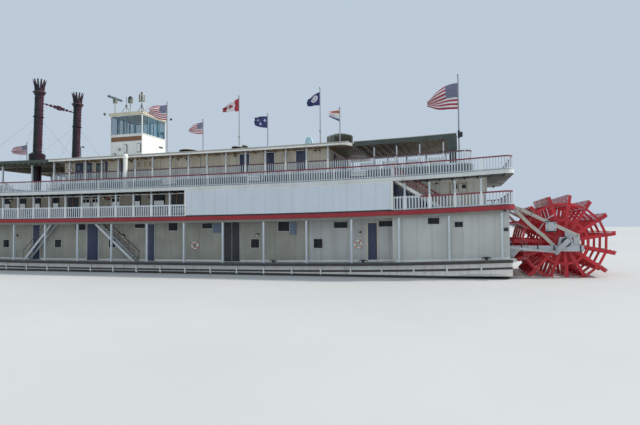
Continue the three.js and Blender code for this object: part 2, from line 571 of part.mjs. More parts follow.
function makeStairs() {
  const { topX, bottomX, inY, outY, thick, steps } = STAIR;
  const low = LEVEL.boiler + sheer(bottomX) + 2 * GAP;
  const high = LEVEL.hurricane + sheer(topX) + 0.02;
  for (const [name, side] of SIDES) {
    const slope = (high - low) / (topX - bottomX);
    const at = (x) => low + (x - bottomX) * slope;
    const outline = [[bottomX, low], [bottomX, low + 0.2], [topX, high], [topX, high - 0.24],
      [bottomX - 0.3, low]];
    const stringers = [inY, outY - thick].map((y) => sideExtrude(outline, ...span(side, y, y + thick)));
    const treads = [];
    for (let i = 1; i <= steps; i += 1) {
      const x = bottomX + ((topX - bottomX) * i) / (steps + 1);
      treads.push(block(x - 0.13, x + 0.13, ...span(side, inY + 0.02, outY - 0.02), at(x) - 0.08, at(x) - 0.03));
    }
    add(`aft_stair_${name}`, joined([...stringers, ...treads]), 'white');
  }
}

function makeFlags() {
  for (const { name, x, y, top, drop, wide, deep } of FLAGS) {
    const foot = name === 'stern' ? LEVEL.texas : LEVEL.roof;
    const head = DRAFT + top;
    const pole = rod([x, y, foot + sheer(x) + 2 * GAP], [x, y, head], FLAG.pole, 8);
    const cloth = block(x - wide, x, y - FLAG.thick / 2, y + FLAG.thick / 2, head - drop - deep, head - drop);
    add(`flag_${name}`, joined([pole, cloth]), 'flag');
  }
}

function makeAftCanopy() {
  const { foreX, aftX, half, postY, top, deep } = AFT_CANOPY;
  const cover = strake(foreX, aftX, -half, half, top - deep, top);
  const hollow = strake(foreX + 0.1, aftX - 0.1, -half + 0.1, half - 0.1, top - deep - 0.1, top - 0.1);
  const posts = [];
  for (const [, side] of SIDES) {
    for (const x of postsAlong(POST.texasFirst, BAY, foreX + 0.1, aftX - 0.1)) {
      posts.push(strake(x - 0.05, x + 0.05, ...span(side, postY - 0.05, postY + 0.05),
        LEVEL.texas + GAP, top - 0.05));
    }
  }
  add('aft_canopy', joined([cover.subtract(hollow), ...posts]), 'green');
}

// Chimneys, which lean aft above their drums, with a spiked crown each and a bar with beads between them
function chimneyX(z) {
  return CHIMNEY.x + CHIMNEY.rake * Math.max(0, z - CHIMNEY.drumTop);
}

function makeChimney(side) {
  const { x, drum, drumTop, capTop, ring, collar, saucer, collarRadius, radius, spikes, spikeWide } = CHIMNEY;
  const y = side * CHIMNEY.y;
  const up = (z0, z1, r0, r1 = r0, sides = 16) => rod([chimneyX(z0), y, z0], [chimneyX(z1), y, z1], r0, sides, r1);
  const pieces = [
    up(BOILERS.top + sheer(x) + 0.02, drumTop, radius),
    up(drumTop - 0.02, saucer - 0.05, radius),
    up(LEVEL.roof + sheer(x) + 0.06, drumTop, drum),
    up(drumTop - 0.01, capTop, drum, radius),
    up(ring - 0.08, ring + 0.08, radius + 0.07),
    up(collar, saucer, radius + 0.02, collarRadius),
  ];
  const spike = sideExtrude(CHIMNEY.spike.map(([r, z]) => [r, DRAFT + z]), -spikeWide / 2, spikeWide / 2);
  for (let i = 0; i < spikes; i += 1) {
    pieces.push(spike.rotate([0, 0, (i / spikes) * 360]).translate([chimneyX(saucer + 0.5), y, 0]));
  }
  return joined(pieces);
}

function makeChimneys() {
  const { y, radius, spreader } = CHIMNEY;
  const reach = y - radius + 0.05;
  const x = chimneyX(spreader);
  const bar = rod([x, -reach, spreader], [x, reach, spreader], 0.06, 6);
  const beads = [0.1, 0.13, 0.17, 0.24, 0.17, 0.13, 0.1].map((size, i) => block(
    x - size / 2, x + size / 2, (i - 3) * 0.6 - size, (i - 3) * 0.6 + size, spreader - size, spreader + size));
  add('chimneys', joined([...SIDES.map(([, side]) => makeChimney(side)), bar, ...beads]), 'black');
}

// Engines and paddle wheel
function ringAround(outer, inner, y0, y1) {
  const corner = (radius, i) => {
    const turn = THREE.MathUtils.degToRad(90 + WHEEL.phase + (i * 360) / WHEEL.paddles);
    return new THREE.Vector2(radius * Math.cos(turn), radius * Math.sin(turn));
  };
  const corners = (radius) => Array.from({ length: WHEEL.paddles }, (_, i) => corner(radius, i));
  const shape = new THREE.Shape(corners(outer));
  shape.holes.push(new THREE.Path(corners(inner)));
  const geometry = new THREE.ExtrudeGeometry(shape, { depth: y1 - y0, bevelEnabled: false });
  return toSolid(geometry.rotateX(Math.PI / 2).translate(WHEEL.x, y1, WHEEL.z));
}

// A bar that stands out from the wheel's axis at an angle in degrees from +X towards +Z
function radialBar(angle, r0, r1, t0, t1, y0, y1) {
  const geometry = new THREE.BoxGeometry(r1 - r0, y1 - y0, t1 - t0);
  geometry.translate((r0 + r1) / 2, (y0 + y1) / 2, (t0 + t1) / 2);
  geometry.rotateY(-THREE.MathUtils.degToRad(angle));
  return toSolid(geometry.translate(WHEEL.x, 0, WHEEL.z));
}

function makePaddleWheel() {
  const { radius, half, paddles, phase, bladeDeep, bladeThick, frames, frameThick, armWide } = WHEEL;
  const pieces = [];
  for (let f = 0; f < frames; f += 1) {
    const y = (half - frameThick) * (-1 + (2 * f) / (frames - 1));
    const y0 = y - frameThick / 2;
    const y1 = y + frameThick / 2;
    pieces.push(ringAround(WHEEL.hub, WHEEL.shaft + 0.012, y0, y1));
    for (const ring of WHEEL.rings) {
      pieces.push(ringAround(ring + WHEEL.ringDeep / 2, ring - WHEEL.ringDeep / 2, y0, y1));
    }
    for (let i = 0; i < paddles; i += 1) {
      const angle = 90 + phase + (i * 360) / paddles;
      pieces.push(radialBar(angle, WHEEL.hub - 0.1, radius - 0.03, -armWide / 2, armWide / 2, y0, y1));
    }
  }
  for (let i = 0; i < paddles; i += 1) {
    const angle = 90 + phase + (i * 360) / paddles;
    const t0 = armWide / 2 - 0.01;
    pieces.push(radialBar(angle, radius - bladeDeep, radius, t0, t0 + bladeThick, -half, half));
  }
  add('paddle_wheel', joined(pieces), 'wheel');
}

function makeShaft() {
  const { throw: reach, inY, outY, pin, pinEnd, wide } = CRANK;
  const pieces = [rod([WHEEL.x, -outY + 0.02, WHEEL.z], [WHEEL.x, outY - 0.02, WHEEL.z], WHEEL.shaft, 12)];
  for (const [name, side] of SIDES) {
    const angle = THREE.MathUtils.degToRad(CRANK[name]);
    pieces.push(radialBar(CRANK[name], -0.3, reach + 0.18, -wide / 2, wide / 2, ...span(side, inY, outY)));
    const x = WHEEL.x + reach * Math.cos(angle);
    const z = WHEEL.z + reach * Math.sin(angle);
    pieces.push(rod([x, side * (inY + 0.02), z], [x, side * pinEnd, z], pin, 12));
  }
  add('wheel_shaft', joined(pieces), 'steel', 0.4, 0.8);
}

function makePitman(name, side) {
  const angle = THREE.MathUtils.degToRad(CRANK[name]);
  const pinX = WHEEL.x + CRANK.throw * Math.cos(angle);
  const pinZ = WHEEL.z + CRANK.throw * Math.sin(angle);
  const drop = pinZ - WHEEL.z;
  const foreX = pinX - Math.sqrt(PITMAN.length ** 2 - drop ** 2);
  const y0 = side * (side < 0 ? PITMAN.outY : PITMAN.inY);
  const y1 = side * (side < 0 ? PITMAN.inY : PITMAN.outY);
  const along = new THREE.Vector2(pinX - foreX, drop).normalize();
  const across = new THREE.Vector2(-along.y, along.x).multiplyScalar(PITMAN.half);
  const bar = sideExtrude([
    [foreX - across.x, WHEEL.z - across.y], [pinX - across.x, pinZ - across.y],
    [pinX + across.x, pinZ + across.y], [foreX + across.x, WHEEL.z + across.y],
  ], y0, y1);
  const eyes = [[foreX, WHEEL.z], [pinX, pinZ]].map(([x, z]) => rod([x, y0, z], [x, y1, z], PITMAN.eye, 12));
  const bores = [[foreX, WHEEL.z], [pinX, pinZ]].map(([x, z]) => rod(
    [x, y0 - 0.1, z], [x, y1 + 0.1, z], PITMAN.bore, 12));
  add(`pitman_${name}`, joined([bar, ...eyes]).subtract(joined(bores)), 'steel', 0.4, 0.7);
}

function makeTimber(name, side) {
  const { foreX, aftX, inY, outY, top, aftLow } = TIMBER;
  const deckXs = stationsBetween(foreX, -0.02);
  const under = deckXs.map((x) => [x, LEVEL.main + sheer(x) + GAP]);
  const outline = [...under, [0.4, aftLow], [aftX, aftLow], [aftX, top], [foreX + 1.5, top], [foreX, top - 0.35]];
  const [y0, y1] = span(side, inY, outY);
  const beam = sideExtrude(outline, y0, y1);
  const pillow = sideExtrude([
    [WHEEL.x - 0.6, top - 0.05], [WHEEL.x + 0.6, top - 0.05], [WHEEL.x + 0.42, WHEEL.z + 0.4],
    [WHEEL.x - 0.42, WHEEL.z + 0.4],
  ], y0 + 0.05, y1 - 0.05);
  const bore = rod([WHEEL.x, y0 - 0.1, WHEEL.z], [WHEEL.x, y1 + 0.1, WHEEL.z], WHEEL.shaft + 0.02, 16);
  const y = side * (inY + outY) / 2;
  const headZ = LEVEL.boiler - 0.12 + sheer(0);
  const head = block(0.01, 0.2, y - 0.16, y + 0.16, headZ - 0.3, headZ + 0.1);
  const along = (line) => line.slice(1).map(([x, z], i) => rod(
    [line[i][0], y, DRAFT + line[i][1]], [x, y, DRAFT + z], BRACES.thick, 6));
  const shape = (points) => sideExtrude(points.map(([x, z]) => [x, DRAFT + z]), y - 0.06, y + 0.06);
  const [plateFore, plateAft, plateLow, plateHigh] = BRACES.plate;
  const braces = [...along(BRACES.upper), ...along(BRACES.lower), shape([...BRACES.end].reverse()),
    block(plateFore, plateAft, y - 0.1, y + 0.1, DRAFT + plateLow, DRAFT + plateHigh)];
  const engine = block(ENGINE.foreX, ENGINE.aftX, ...span(side, outY - 0.05, ENGINE.outY),
    LEVEL.main + sheer(ENGINE.aftX) + 0.15, ENGINE.top);
  add(`cylinder_timber_${name}`, joined([beam, pillow, engine, head, ...braces]).subtract(bore), 'grey');
}

function makeEngines() {
  for (const [name, side] of SIDES) {
    makePitman(name, side);
    makeTimber(name, side);
  }
  const { foreX, aftX, half, top } = BOILERS;
  add('boilers', strake(foreX, aftX, -half, half, LEVEL.main + GAP, top), 'iron');
}

// Steering
function makeRudders() {
  const { x, ys, fore, aft, low, top, half, stock } = RUDDER;
  ['port', 'starboard'].forEach((name, i) => {
    const y = ys[i];
    const blade = block(x - fore, x + aft, y - half, y + half, low, top);
    const stem = rod([x, y, low + 0.02], [x, y, top + 0.2], stock, 12);
    add(`rudder_${name}`, joined([blade, stem]), 'red');
  });
}

// Bow gear
function makeBowGear() {
  const { x, post, height, heel, reach, rise, boom } = DERRICK;
  const deck = LEVEL.main + sheer(x);
  const tipX = x - reach;
  const tipZ = deck + heel + rise;
  for (const [name, side] of SIDES) {
    const y = side * DERRICK.y;
    const mast = rod([x, y, deck + 2 * GAP], [x, y, deck + height], post, 12, 0.09);
    const arm = rod([x, y, deck + heel], [tipX, y, tipZ], boom, 8, 0.08);
    const lift = rod([x, y, deck + height - 0.15], [tipX, y, tipZ], 0.035, 6);
    const fall = rod([tipX, y, tipZ], [tipX, y, deck + STAGE.clear + STAGE.deep + STAGE.ringUp + 0.06], 0.04, 6);
    add(`stage_derrick_${name}`, joined([mast, arm, lift, fall]), 'white');
    const low = deck + STAGE.clear;
    const plank = block(tipX - STAGE.length / 2, tipX + STAGE.length / 2, y - STAGE.half, y + STAGE.half,
      low, low + STAGE.deep);
    const ringZ = low + STAGE.deep + STAGE.ringUp;
    const slings = [[-3.3, -1], [-3.3, 1], [3.3, -1], [3.3, 1]].map(([dx, s]) => rod(
      [tipX + dx, y + s * (STAGE.half - 0.1), low + STAGE.deep - 0.05], [tipX, y, ringZ], 0.035, 6));
    add(`landing_stage_${name}`, joined([plank, ...slings]), 'wood');
  }
}

makeHull();
makeDecks();
makeForeCanopy();
makeMainHouse();
makeUpperHouses();
makeDoors();
makePilothouse();
makeGalleries();
makeHurricaneRail();
makeStairs();
makeAftCanopy();
makeFlags();
makeChimneys();
makeEngines();
makePaddleWheel();
makeShaft();
makeRudders();
makeBowGear();

const reach = new THREE.Box3().setFromObject(ship);
ship.position.x = -MODEL_MM * (reach.min.x + reach.max.x) / 2;
ship.scale.setScalar(MODEL_MM);

const model = new THREE.Group();
model.add(ship);

export default model;
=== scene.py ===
"""Looks of the 1:10 sternwheel paddle steamer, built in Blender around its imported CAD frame.

Sizes are in metres on the full-size ship, in the frame that the CAD source uses: X aft from the stern
end of the decks, Y to starboard, Z up from the flat bottom. at() turns them into model metres.
"""

import math
import random

import bpy
from mathutils import Matrix, Vector


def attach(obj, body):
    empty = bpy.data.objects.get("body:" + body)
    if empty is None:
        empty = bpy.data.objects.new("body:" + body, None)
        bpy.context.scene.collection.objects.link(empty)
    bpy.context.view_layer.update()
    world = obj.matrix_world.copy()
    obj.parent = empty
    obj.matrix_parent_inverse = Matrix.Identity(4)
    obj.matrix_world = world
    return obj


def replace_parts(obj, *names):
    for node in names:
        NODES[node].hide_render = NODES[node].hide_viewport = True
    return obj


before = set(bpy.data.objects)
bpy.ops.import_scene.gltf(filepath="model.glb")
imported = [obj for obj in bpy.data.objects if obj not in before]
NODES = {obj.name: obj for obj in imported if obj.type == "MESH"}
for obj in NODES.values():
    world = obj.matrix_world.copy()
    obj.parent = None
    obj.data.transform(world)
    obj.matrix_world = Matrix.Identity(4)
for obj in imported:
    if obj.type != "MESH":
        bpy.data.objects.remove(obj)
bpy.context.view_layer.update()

# Driving sizes
SCALE = 0.1
DRAFT = 1.83
BOW_X = -73.1
MIDDLE_X = -32.73837
HALF_BEAM = 7.0
BAY = 1.973
MAIN, BOILER, HURRICANE, TEXAS, ROOF = (DRAFT + up for up in (1.05, 5.25, 8.0, 8.9, 11.47))
BOILER_THICK, HURRICANE_THICK, ROOF_THICK = 0.35, 0.3, 0.26
RAIL_TOP = 1.1
TEXAS_WALL, SALOON_WALL, MAIN_WALL, ENGINE_WALL = 4.5, 5.4, 5.4, 6.4
SHEER_FROM, AFT_RISE, FORE_RISE = -38, (0.54, 3.6), (1.25, 3)
SIDES = (("port", -1), ("starboard", 1))
PAIR = (-1, 1)

random.seed(7)


def smooth_rise(x):
    aft = max(0.0, (x - SHEER_FROM) / -SHEER_FROM)
    fore = max(0.0, (SHEER_FROM - x) / (SHEER_FROM - BOW_X))
    return AFT_RISE[0] * aft ** AFT_RISE[1] + FORE_RISE[0] * fore ** FORE_RISE[1]


def sheer(x):
    """Rise of the decks towards the ends, straight between knots 4 m apart."""
    knot = math.floor(x / 4) * 4
    part = (x - knot) / 4
    return (1 - part) * smooth_rise(knot) + part * smooth_rise(knot + 4)


def at(x, y, z):
    return Vector(((x - MIDDLE_X) * SCALE, y * SCALE, z * SCALE))


def knots(x0, x1):
    """Stations from x0 to x1 at which the sheer bends."""
    first = math.ceil((x0 + 0.01) / 4) * 4
    return [x0, *range(first, math.ceil(x1 - 0.01), 4), x1]


def turns(count):
    """Angles of an even round."""
    return [2 * math.pi * k / count for k in range(count)]


def steps(first, last, pitch):
    """Places from first up to last, a pitch apart."""
    x = first
    while x < last:
        yield x
        x += pitch


# Meshes
class Form:
    """Gathers faces in ship metres, in a base material or a kind of their own, and makes them one piece."""

    def __init__(self, base):
        self.base = base
        self.verts, self.faces, self.kinds, self.soft = [], [], [], []

    def add(self, verts, faces, kind=None, soft=False):
        base = len(self.verts)
        self.verts += [Vector(v) for v in verts]
        self.faces += [[base + i for i in face] for face in faces]
        self.kinds += [kind or self.base] * len(faces)
        self.soft += [soft] * len(faces)

    def hexa(self, low, high, kind=None):
        """Two quads of corners, facing each other, as one six-sided solid with its faces outwards."""
        low, high = [Vector(v) for v in low], [Vector(v) for v in high]
        if (low[1] - low[0]).cross(low[3] - low[0]).dot(high[0] - low[0]) < 0:
            low, high = high, low
        self.add(low + high, [(3, 2, 1, 0), (4, 5, 6, 7), (0, 1, 5, 4), (1, 2, 6, 5),
                                          (2, 3, 7, 6), (3, 0, 4, 7)], kind)

    def block(self, x0, x1, y0, y1, z0, z1, kind=None, lift=False):
        """A box, whose ends rise with the sheer if it is lifted."""
        x0, x1 = min(x0, x1), max(x0, x1)
        y0, y1 = min(y0, y1), max(y0, y1)
        a, b = (sheer(x0), sheer(x1)) if lift else (0, 0)
        plan = ((x0, y0, a), (x1, y0, b), (x1, y1, b), (x0, y1, a))
        self.hexa([(x, y, z0 + up) for x, y, up in plan], [(x, y, z1 + up) for x, y, up in plan], kind)

    def bar(self, x, half, y0, y1, z0, z1, kind=None, lift=False):
        """A box that is half as long as this on each side of x."""
        self.block(x - half, x + half, y0, y1, z0, z1, kind, lift)

    def plate(self, x0, x1, wall, out, z0, z1, kind=None):
        """A flat box on a wall, which follows the sheer."""
        self.block(x0, x1, wall, wall + out, z0, z1, kind, True)

    def run(self, x0, x1, y0, y1, z0, z1, kind=None):
        """A long block that follows the sheer."""
        y0, y1 = min(y0, y1), max(y0, y1)
        self.skin([[(x, y, z + sheer(x)) for y, z in ((y0, z1), (y1, z1), (y1, z0), (y0, z0))]
                   for x in knots(x0, x1)], kind, capped=True)

    def skin(self, rings, kind, capped=False, loop=False, soft=False):
        """Quads between rings of equal count."""
        n, count = len(rings[0]), len(rings)
        faces = []
        for r in range(count if loop else count - 1):
            a, b = r * n, ((r + 1) % count) * n
            for i in range(n):
                j = (i + 1) % n
                faces.append((a + j, a + i, b + i, b + j))
        if capped:
            faces.append(tuple(range(n)))
            faces.append(tuple((count - 1) * n + i for i in reversed(range(n))))
        self.add([v for ring in rings for v in ring], faces, kind, soft)

    def tube(self, points, radius, sides=8, kind=None, end_radius=None):
        """A round bar along points, tapered if it has an end radius."""
        points = [Vector(p) for p in points]
        last = len(points) - 1
        rings, side = [], None
        for i, p in enumerate(points):
            line = (points[min(i + 1, last)] - points[max(i - 1, 0)]).normalized()
            side = side or line.orthogonal().normalized()
            side = (side - line * side.dot(line)).normalized()
            other = line.cross(side)
            r = radius if end_radius is None else radius + (end_radius - radius) * i / last
            rings.append([p + (side * math.cos(t) + other * math.sin(t)) * r for t in reversed(turns(sides))])
        self.skin(rings, kind, capped=True, soft=True)

    def lathe(self, place, profile, sides=24, kind=None, axis=(0, 0, 1)):
        """A profile of (radius, height) turned about an axis through place. Ends on the axis are closed."""
        axis = Vector(axis).normalized()
        u = axis.orthogonal().normalized() if abs(axis.z) < 0.99 else Vector((1, 0, 0))
        v = axis.cross(u)
        self.skin([[Vector(place) + axis * h + (u * math.cos(t) + v * math.sin(t)) * max(r, 1e-4)
                    for t in reversed(turns(sides))] for r, h in profile], kind, capped=True, soft=True)

    def ring(self, place, radius, tube, axis, sides=28, tube_sides=8, kinds=(None,)):
        """A torus, banded with several kinds if they are given."""
        axis = Vector(axis).normalized()
        u = axis.orthogonal().normalized()
        v = axis.cross(u)
        for k in range(sides):
            rings = []
            for t in (2 * math.pi * k / sides, 2 * math.pi * (k + 1) / sides):
                out = u * math.cos(t) + v * math.sin(t)
                rings.append([Vector(place) + out * (radius + tube * math.cos(s)) + axis * tube * math.sin(s)
                              for s in turns(tube_sides)])
            self.skin(rings, kinds[k * len(kinds) // sides], soft=True)

    def make(self, name, slot, body="ship", bevel=0.0):
        mesh = bpy.data.meshes.new(name)
        mesh.from_pydata([at(*v) for v in self.verts], [], self.faces)
        numbers = {material: i for i, material in enumerate(dict.fromkeys(self.kinds))}
        for material in numbers:
            mesh.materials.append(material)
        mesh.polygons.foreach_set("material_index", [numbers[kind] for kind in self.kinds])
        mesh.polygons.foreach_set("use_smooth", self.soft)
        mesh.update()
        if any(self.soft):
            mesh.set_sharp_from_angle(angle=math.radians(38))
        thing = bpy.data.objects.new(name, mesh)
        bpy.context.scene.collection.objects.link(thing)
        if bevel:
            soften(thing, bevel)
        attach(thing, body)
        return thing


def soften(thing, width):
    bevel = thing.modifiers.new("edges", "BEVEL")
    bevel.width = width * SCALE
    bevel.segments = 2
    bevel.limit_method = "ANGLE"
    bevel.angle_limit = math.radians(40)
    bevel.harden_normals = True


# Materials
class Paint:
    """A material built from nodes that read the object's own coordinates."""

    def __init__(self, name, roughness=0.5, metallic=0.0, coat=0.0):
        self.material = bpy.data.materials.new(name)
        self.material.use_nodes = True
        self.nodes = self.material.node_tree.nodes
        self.shader = self.nodes["Principled BSDF"]
        for socket, value in (("Roughness", roughness), ("Metallic", metallic), ("Coat Weight", coat)):
            self.shader.inputs[socket].default_value = value
        self.place = self.nodes.new("ShaderNodeTexCoord").outputs["Object"]
        self.height = None

    def link(self, source, socket):
        self.material.node_tree.links.new(source, socket)

    def feed(self, socket, value):
        """Sets a socket to a number or a colour, or links it to another socket."""
        if isinstance(value, (int, float)):
            socket.default_value = value
        elif isinstance(value, tuple):
            socket.default_value = (*value, 1)
        else:
            self.link(value, socket)

    def math(self, operation, *values):
        node = self.nodes.new("ShaderNodeMath")
        node.operation = operation
        for value, socket in zip(values, node.inputs):
            self.feed(socket, value)
        return node.outputs[0]

    def add(self, a, b):
        return self.math("ADD", a, b)

    def minus(self, a, b):
        return self.math("SUBTRACT", a, b)

    def times(self, a, b):
        return self.math("MULTIPLY", a, b)

    def part(self, axis, source=None):
        node = self.nodes.new("ShaderNodeSeparateXYZ")
        self.link(source or self.place, node.inputs[0])
        return node.outputs["XYZ".index(axis)]

    def facing(self, axis):
        return self.part(axis, self.nodes.new("ShaderNodeNewGeometry").outputs["Normal"])

    def noise(self, scale, stretch=(1, 1, 1), detail=4.0, low=0.35, high=0.65):
        mapping = self.nodes.new("ShaderNodeMapping")
        mapping.inputs["Scale"].default_value = stretch
        self.link(self.place, mapping.inputs["Vector"])
        node = self.nodes.new("ShaderNodeTexNoise")
        node.inputs["Scale"].default_value = scale
        node.inputs["Detail"].default_value = detail
        self.link(mapping.outputs[0], node.inputs["Vector"])
        return self.spread(node.outputs["Fac"], low, high)

    def spread(self, source, low, high, to_low=0.0, to_high=1.0):
        node = self.nodes.new("ShaderNodeMapRange")
        self.link(source, node.inputs["Value"])
        for name, value in (("From Min", low), ("From Max", high), ("To Min", to_low), ("To Max", to_high)):
            node.inputs[name].default_value = value
        return node.outputs[0]

    def level(self):
        """Height in ship metres, with the rise of the decks towards the ends taken off."""
        x = self.add(self.math("DIVIDE", self.part("X"), SCALE), MIDDLE_X)
        rises = []
        for distance, reach, (rise, power) in (
                (self.minus(x, SHEER_FROM), -SHEER_FROM, AFT_RISE),
                (self.minus(SHEER_FROM, x), SHEER_FROM - BOW_X, FORE_RISE)):
            share = self.math("MAXIMUM", 0.0, self.math("DIVIDE", distance, reach))
            rises.append(self.times(self.math("POWER", share, power), rise))
        return self.minus(self.math("DIVIDE", self.part("Z"), SCALE), self.add(*rises))

    def above(self, source, limit, soft=0.002):
        return self.spread(source, limit - soft, limit + soft)

    def between(self, source, low, high, soft=0.01):
        return self.times(self.above(source, low, soft), self.minus(1.0, self.above(source, high, soft)))

    def seams(self, axis, pitch, gap=0.06):
        """1 on the seams between boards of a pitch in ship metres, else 0."""
        share = self.math("FRACT", self.times(self.part(axis), 1 / (pitch * SCALE)))
        centre = self.math("ABSOLUTE", self.minus(share, 0.5))
        return self.spread(centre, 0.5 - gap, 0.5 - gap / 3)

    def mix(self, factor, a, b):
        node = self.nodes.new("ShaderNodeMix")
        node.data_type = "RGBA"
        for value, socket in ((factor, node.inputs["Factor"]), (a, node.inputs[6]), (b, node.inputs[7])):
            self.feed(socket, value)
        return node.outputs[2]

    def patchy(self, scale, colour, share):
        """A colour with soft patches of a darker or lighter share of it."""
        return self.mix(self.noise(scale), colour, darker(colour, share))

    def bump(self, source, strength, distance):
        node = self.nodes.new("ShaderNodeBump")
        node.inputs["Strength"].default_value = strength
        node.inputs["Distance"].default_value = distance
        self.link(source, node.inputs["Height"])
        if self.height is not None:
            self.link(self.height, node.inputs["Normal"])
        self.height = node.outputs[0]
        self.link(self.height, self.shader.inputs["Normal"])

    def groove(self, seam, strength, distance=0.001):
        self.bump(self.minus(1.0, seam), strength, distance)

    def rough(self, source, low, high):
        self.link(self.spread(source, 0, 1, low, high), self.shader.inputs["Roughness"])

    def colour(self, source):
        self.feed(self.shader.inputs["Base Color"], source)
        return self.material


def darker(colour, share):
    return tuple(c * share for c in colour)


def painted(name, colour, roughness=0.45, boards=None, streak=0.35, patch=0.12, rust=0.0, under=None,
            top=None, bands=(), seam_depth=0.55):
    """Weathered paint: patches, rain streaks, board seams, bands of other colours between levels, and
    other colours on faces that look down or up."""
    p = Paint(name, roughness)
    shade = p.patchy(5, colour, 1 - patch)
    # bands between levels; some materials use them as painted shade on post tops and beams under the decks
    if bands:
        level = p.level()
        for low, high, tone in bands:
            shade = p.mix(p.between(level, low, high), shade, p.patchy(5, tone, 1 - patch))
    streaks = p.times(p.noise(26, (1, 1, 0.06), low=0.5, high=0.8), streak)
    shade = p.mix(streaks, shade, darker(colour, 0.55))
    if rust:
        spots = p.times(p.noise(38, (1, 1, 0.25), low=0.62, high=0.74), rust)
        shade = p.mix(spots, shade, (0.25, 0.1, 0.04))
    if boards:
        seam = p.seams(*boards)
        shade = p.mix(p.times(seam, seam_depth), shade, darker(colour, 0.35))
        p.groove(seam, 0.5 * seam_depth, 0.0012)
    # the colour on faces that look down is painted shade in some materials, near black under the deck edges
    if under:
        planks = p.mix(p.noise(40, (0.1, 1, 1)), under, darker(under, 0.6))
        lower = p.mix(p.seams("X", 0.45, 0.1), planks, darker(under, 0.3))
        shade = p.mix(p.above(p.times(p.facing("Z"), -1.0), 0.7, 0.05), shade, lower)
    if top:
        shade = p.mix(p.above(p.facing("Z"), 0.7, 0.05), shade, p.patchy(9, top, 0.75))
    p.bump(p.noise(110, detail=6, low=0.3, high=0.7), 0.12, 0.0006)
    p.rough(p.noise(14), max(0.05, roughness - 0.1), min(1.0, roughness + 0.15))
    return p.colour(shade)


def deck_boards(name, colour):
    """Planks along the ship with tar seams, foot-worn in patches."""
    p = Paint(name, 0.7)
    seam = p.seams("Y", 0.14, 0.07)
    grain = p.noise(60, (0.06, 1, 1), detail=6)
    shade = p.mix(p.noise(4), p.mix(grain, colour, darker(colour, 0.72)), darker(colour, 1.12))
    shade = p.mix(p.times(seam, 0.8), shade, darker(colour, 0.3))
    p.groove(seam, 0.4)
    p.bump(grain, 0.2, 0.0006)
    return p.colour(shade)


def hull_paint():
    """White topsides over a black line and oxide red below the water, with plate seams and rust."""
    p = Paint("hull_paint", 0.45)
    line = DRAFT * SCALE
    streaks = p.times(p.noise(22, (1, 1, 0.08), low=0.5, high=0.75), 0.5)
    side = p.mix(streaks, (0.74, 0.73, 0.69), (0.42, 0.37, 0.3))
    below = p.mix(p.noise(12), OXIDE, darker(OXIDE, 0.5))
    height = p.part("Z")
    shade = p.mix(p.above(height, line - 0.012), below,
                  p.mix(p.above(height, line + 0.022), (0.03, 0.03, 0.03), side))
    plates = p.math("MAXIMUM", p.seams("X", 2.4, 0.006), p.seams("Z", 0.6, 0.02))
    shade = p.mix(p.times(plates, 0.4), shade, (0.2, 0.17, 0.14))
    p.groove(plates, 0.4)
    p.bump(p.noise(9), 0.25, 0.003)
    return p.colour(shade)


def metal(name, colour, roughness=0.35, metallic=1.0, stain=(0.16, 0.08, 0.04), stained=0.4):
    p = Paint(name, roughness, metallic)
    spots = p.times(p.noise(30, detail=6, low=0.5, high=0.75), stained)
    p.bump(p.noise(120, detail=5), 0.15, 0.0005)
    p.rough(p.noise(18), roughness, min(1.0, roughness + 0.25))
    return p.colour(p.mix(spots, p.patchy(8, colour, 0.75), stain))


def chimney_paint():
    """Satin black over plate rings, streaked, with a painted sunlit maroon tint where the plates face aft
    towards the sun.
    """
    p = Paint("chimney_black", 0.36)
    p.shader.inputs["Specular IOR Level"].default_value = 0.28
    streaks = p.noise(20, (1, 1, 0.05), low=0.45, high=0.8)
    shade = p.mix(streaks, (0.005, 0.013, 0.015), (0.02, 0.018, 0.02))
    # painted sunlight: faces turned aft, towards the sun, get a maroon tint
    shade = p.mix(p.above(p.facing("X"), 0.72, 0.25), shade, (0.045, 0.01, 0.024))
    seam = p.seams("Z", 1.25, 0.02)
    p.groove(seam, 0.5, 0.0015)
    p.bump(p.noise(60, (1, 1, 0.3)), 0.12, 0.001)
    p.rough(p.noise(10), 0.28, 0.5)
    return p.colour(p.mix(p.times(seam, 0.6), shade, (0.09, 0.05, 0.045)))


def wheel_paint(name, colour, faded, amount):
    """Bright red paint on wet planks, mixed in noise patches with a paler colour: faded paint, and on the
    bucket planks also painted sunlight.
    """
    p = Paint(name, 0.5, coat=0.15)
    faded_and_sunlit_patches = p.noise(34, (1, 0.18, 1), detail=7, low=0.42, high=0.62)
    p.bump(faded_and_sunlit_patches, 0.25, 0.0012)
    p.rough(faded_and_sunlit_patches, 0.35, 0.75)
    return p.colour(p.mix(p.times(faded_and_sunlit_patches, amount), p.patchy(9, colour, 0.7), faded))


def glass(name="window_glass", colour=(0.03, 0.05, 0.06), alpha=1.0, shine=0.8):
    p = Paint(name, 0.06)
    p.shader.inputs["Specular IOR Level"].default_value = shine
    p.shader.inputs["Alpha"].default_value = alpha
    return p.colour(p.patchy(6, colour, 2.2))


def long_wall(name, fore, aft, joint, boards):
    """A cabin wall whose fore length has another colour than its aft length, over panel seams."""
    p = Paint(name, 0.5)
    place = p.above(p.part("X"), (joint - MIDDLE_X) * SCALE, 0.001)
    worn = p.mix(place, darker(fore, 0.6), darker(aft, 0.8))
    shade = p.mix(p.times(p.noise(7), 0.5), p.mix(place, fore, aft), worn)
    shade = p.mix(p.times(p.noise(30, (1, 1, 0.05), low=0.5, high=0.8), 0.35), shade, (0.2, 0.16, 0.12))
    seam = p.seams("X", boards)
    p.groove(seam, 0.3)
    p.bump(p.noise(110, detail=6), 0.12, 0.0006)
    return p.colour(p.mix(p.times(seam, 0.25), shade, (0.16, 0.13, 0.1)))


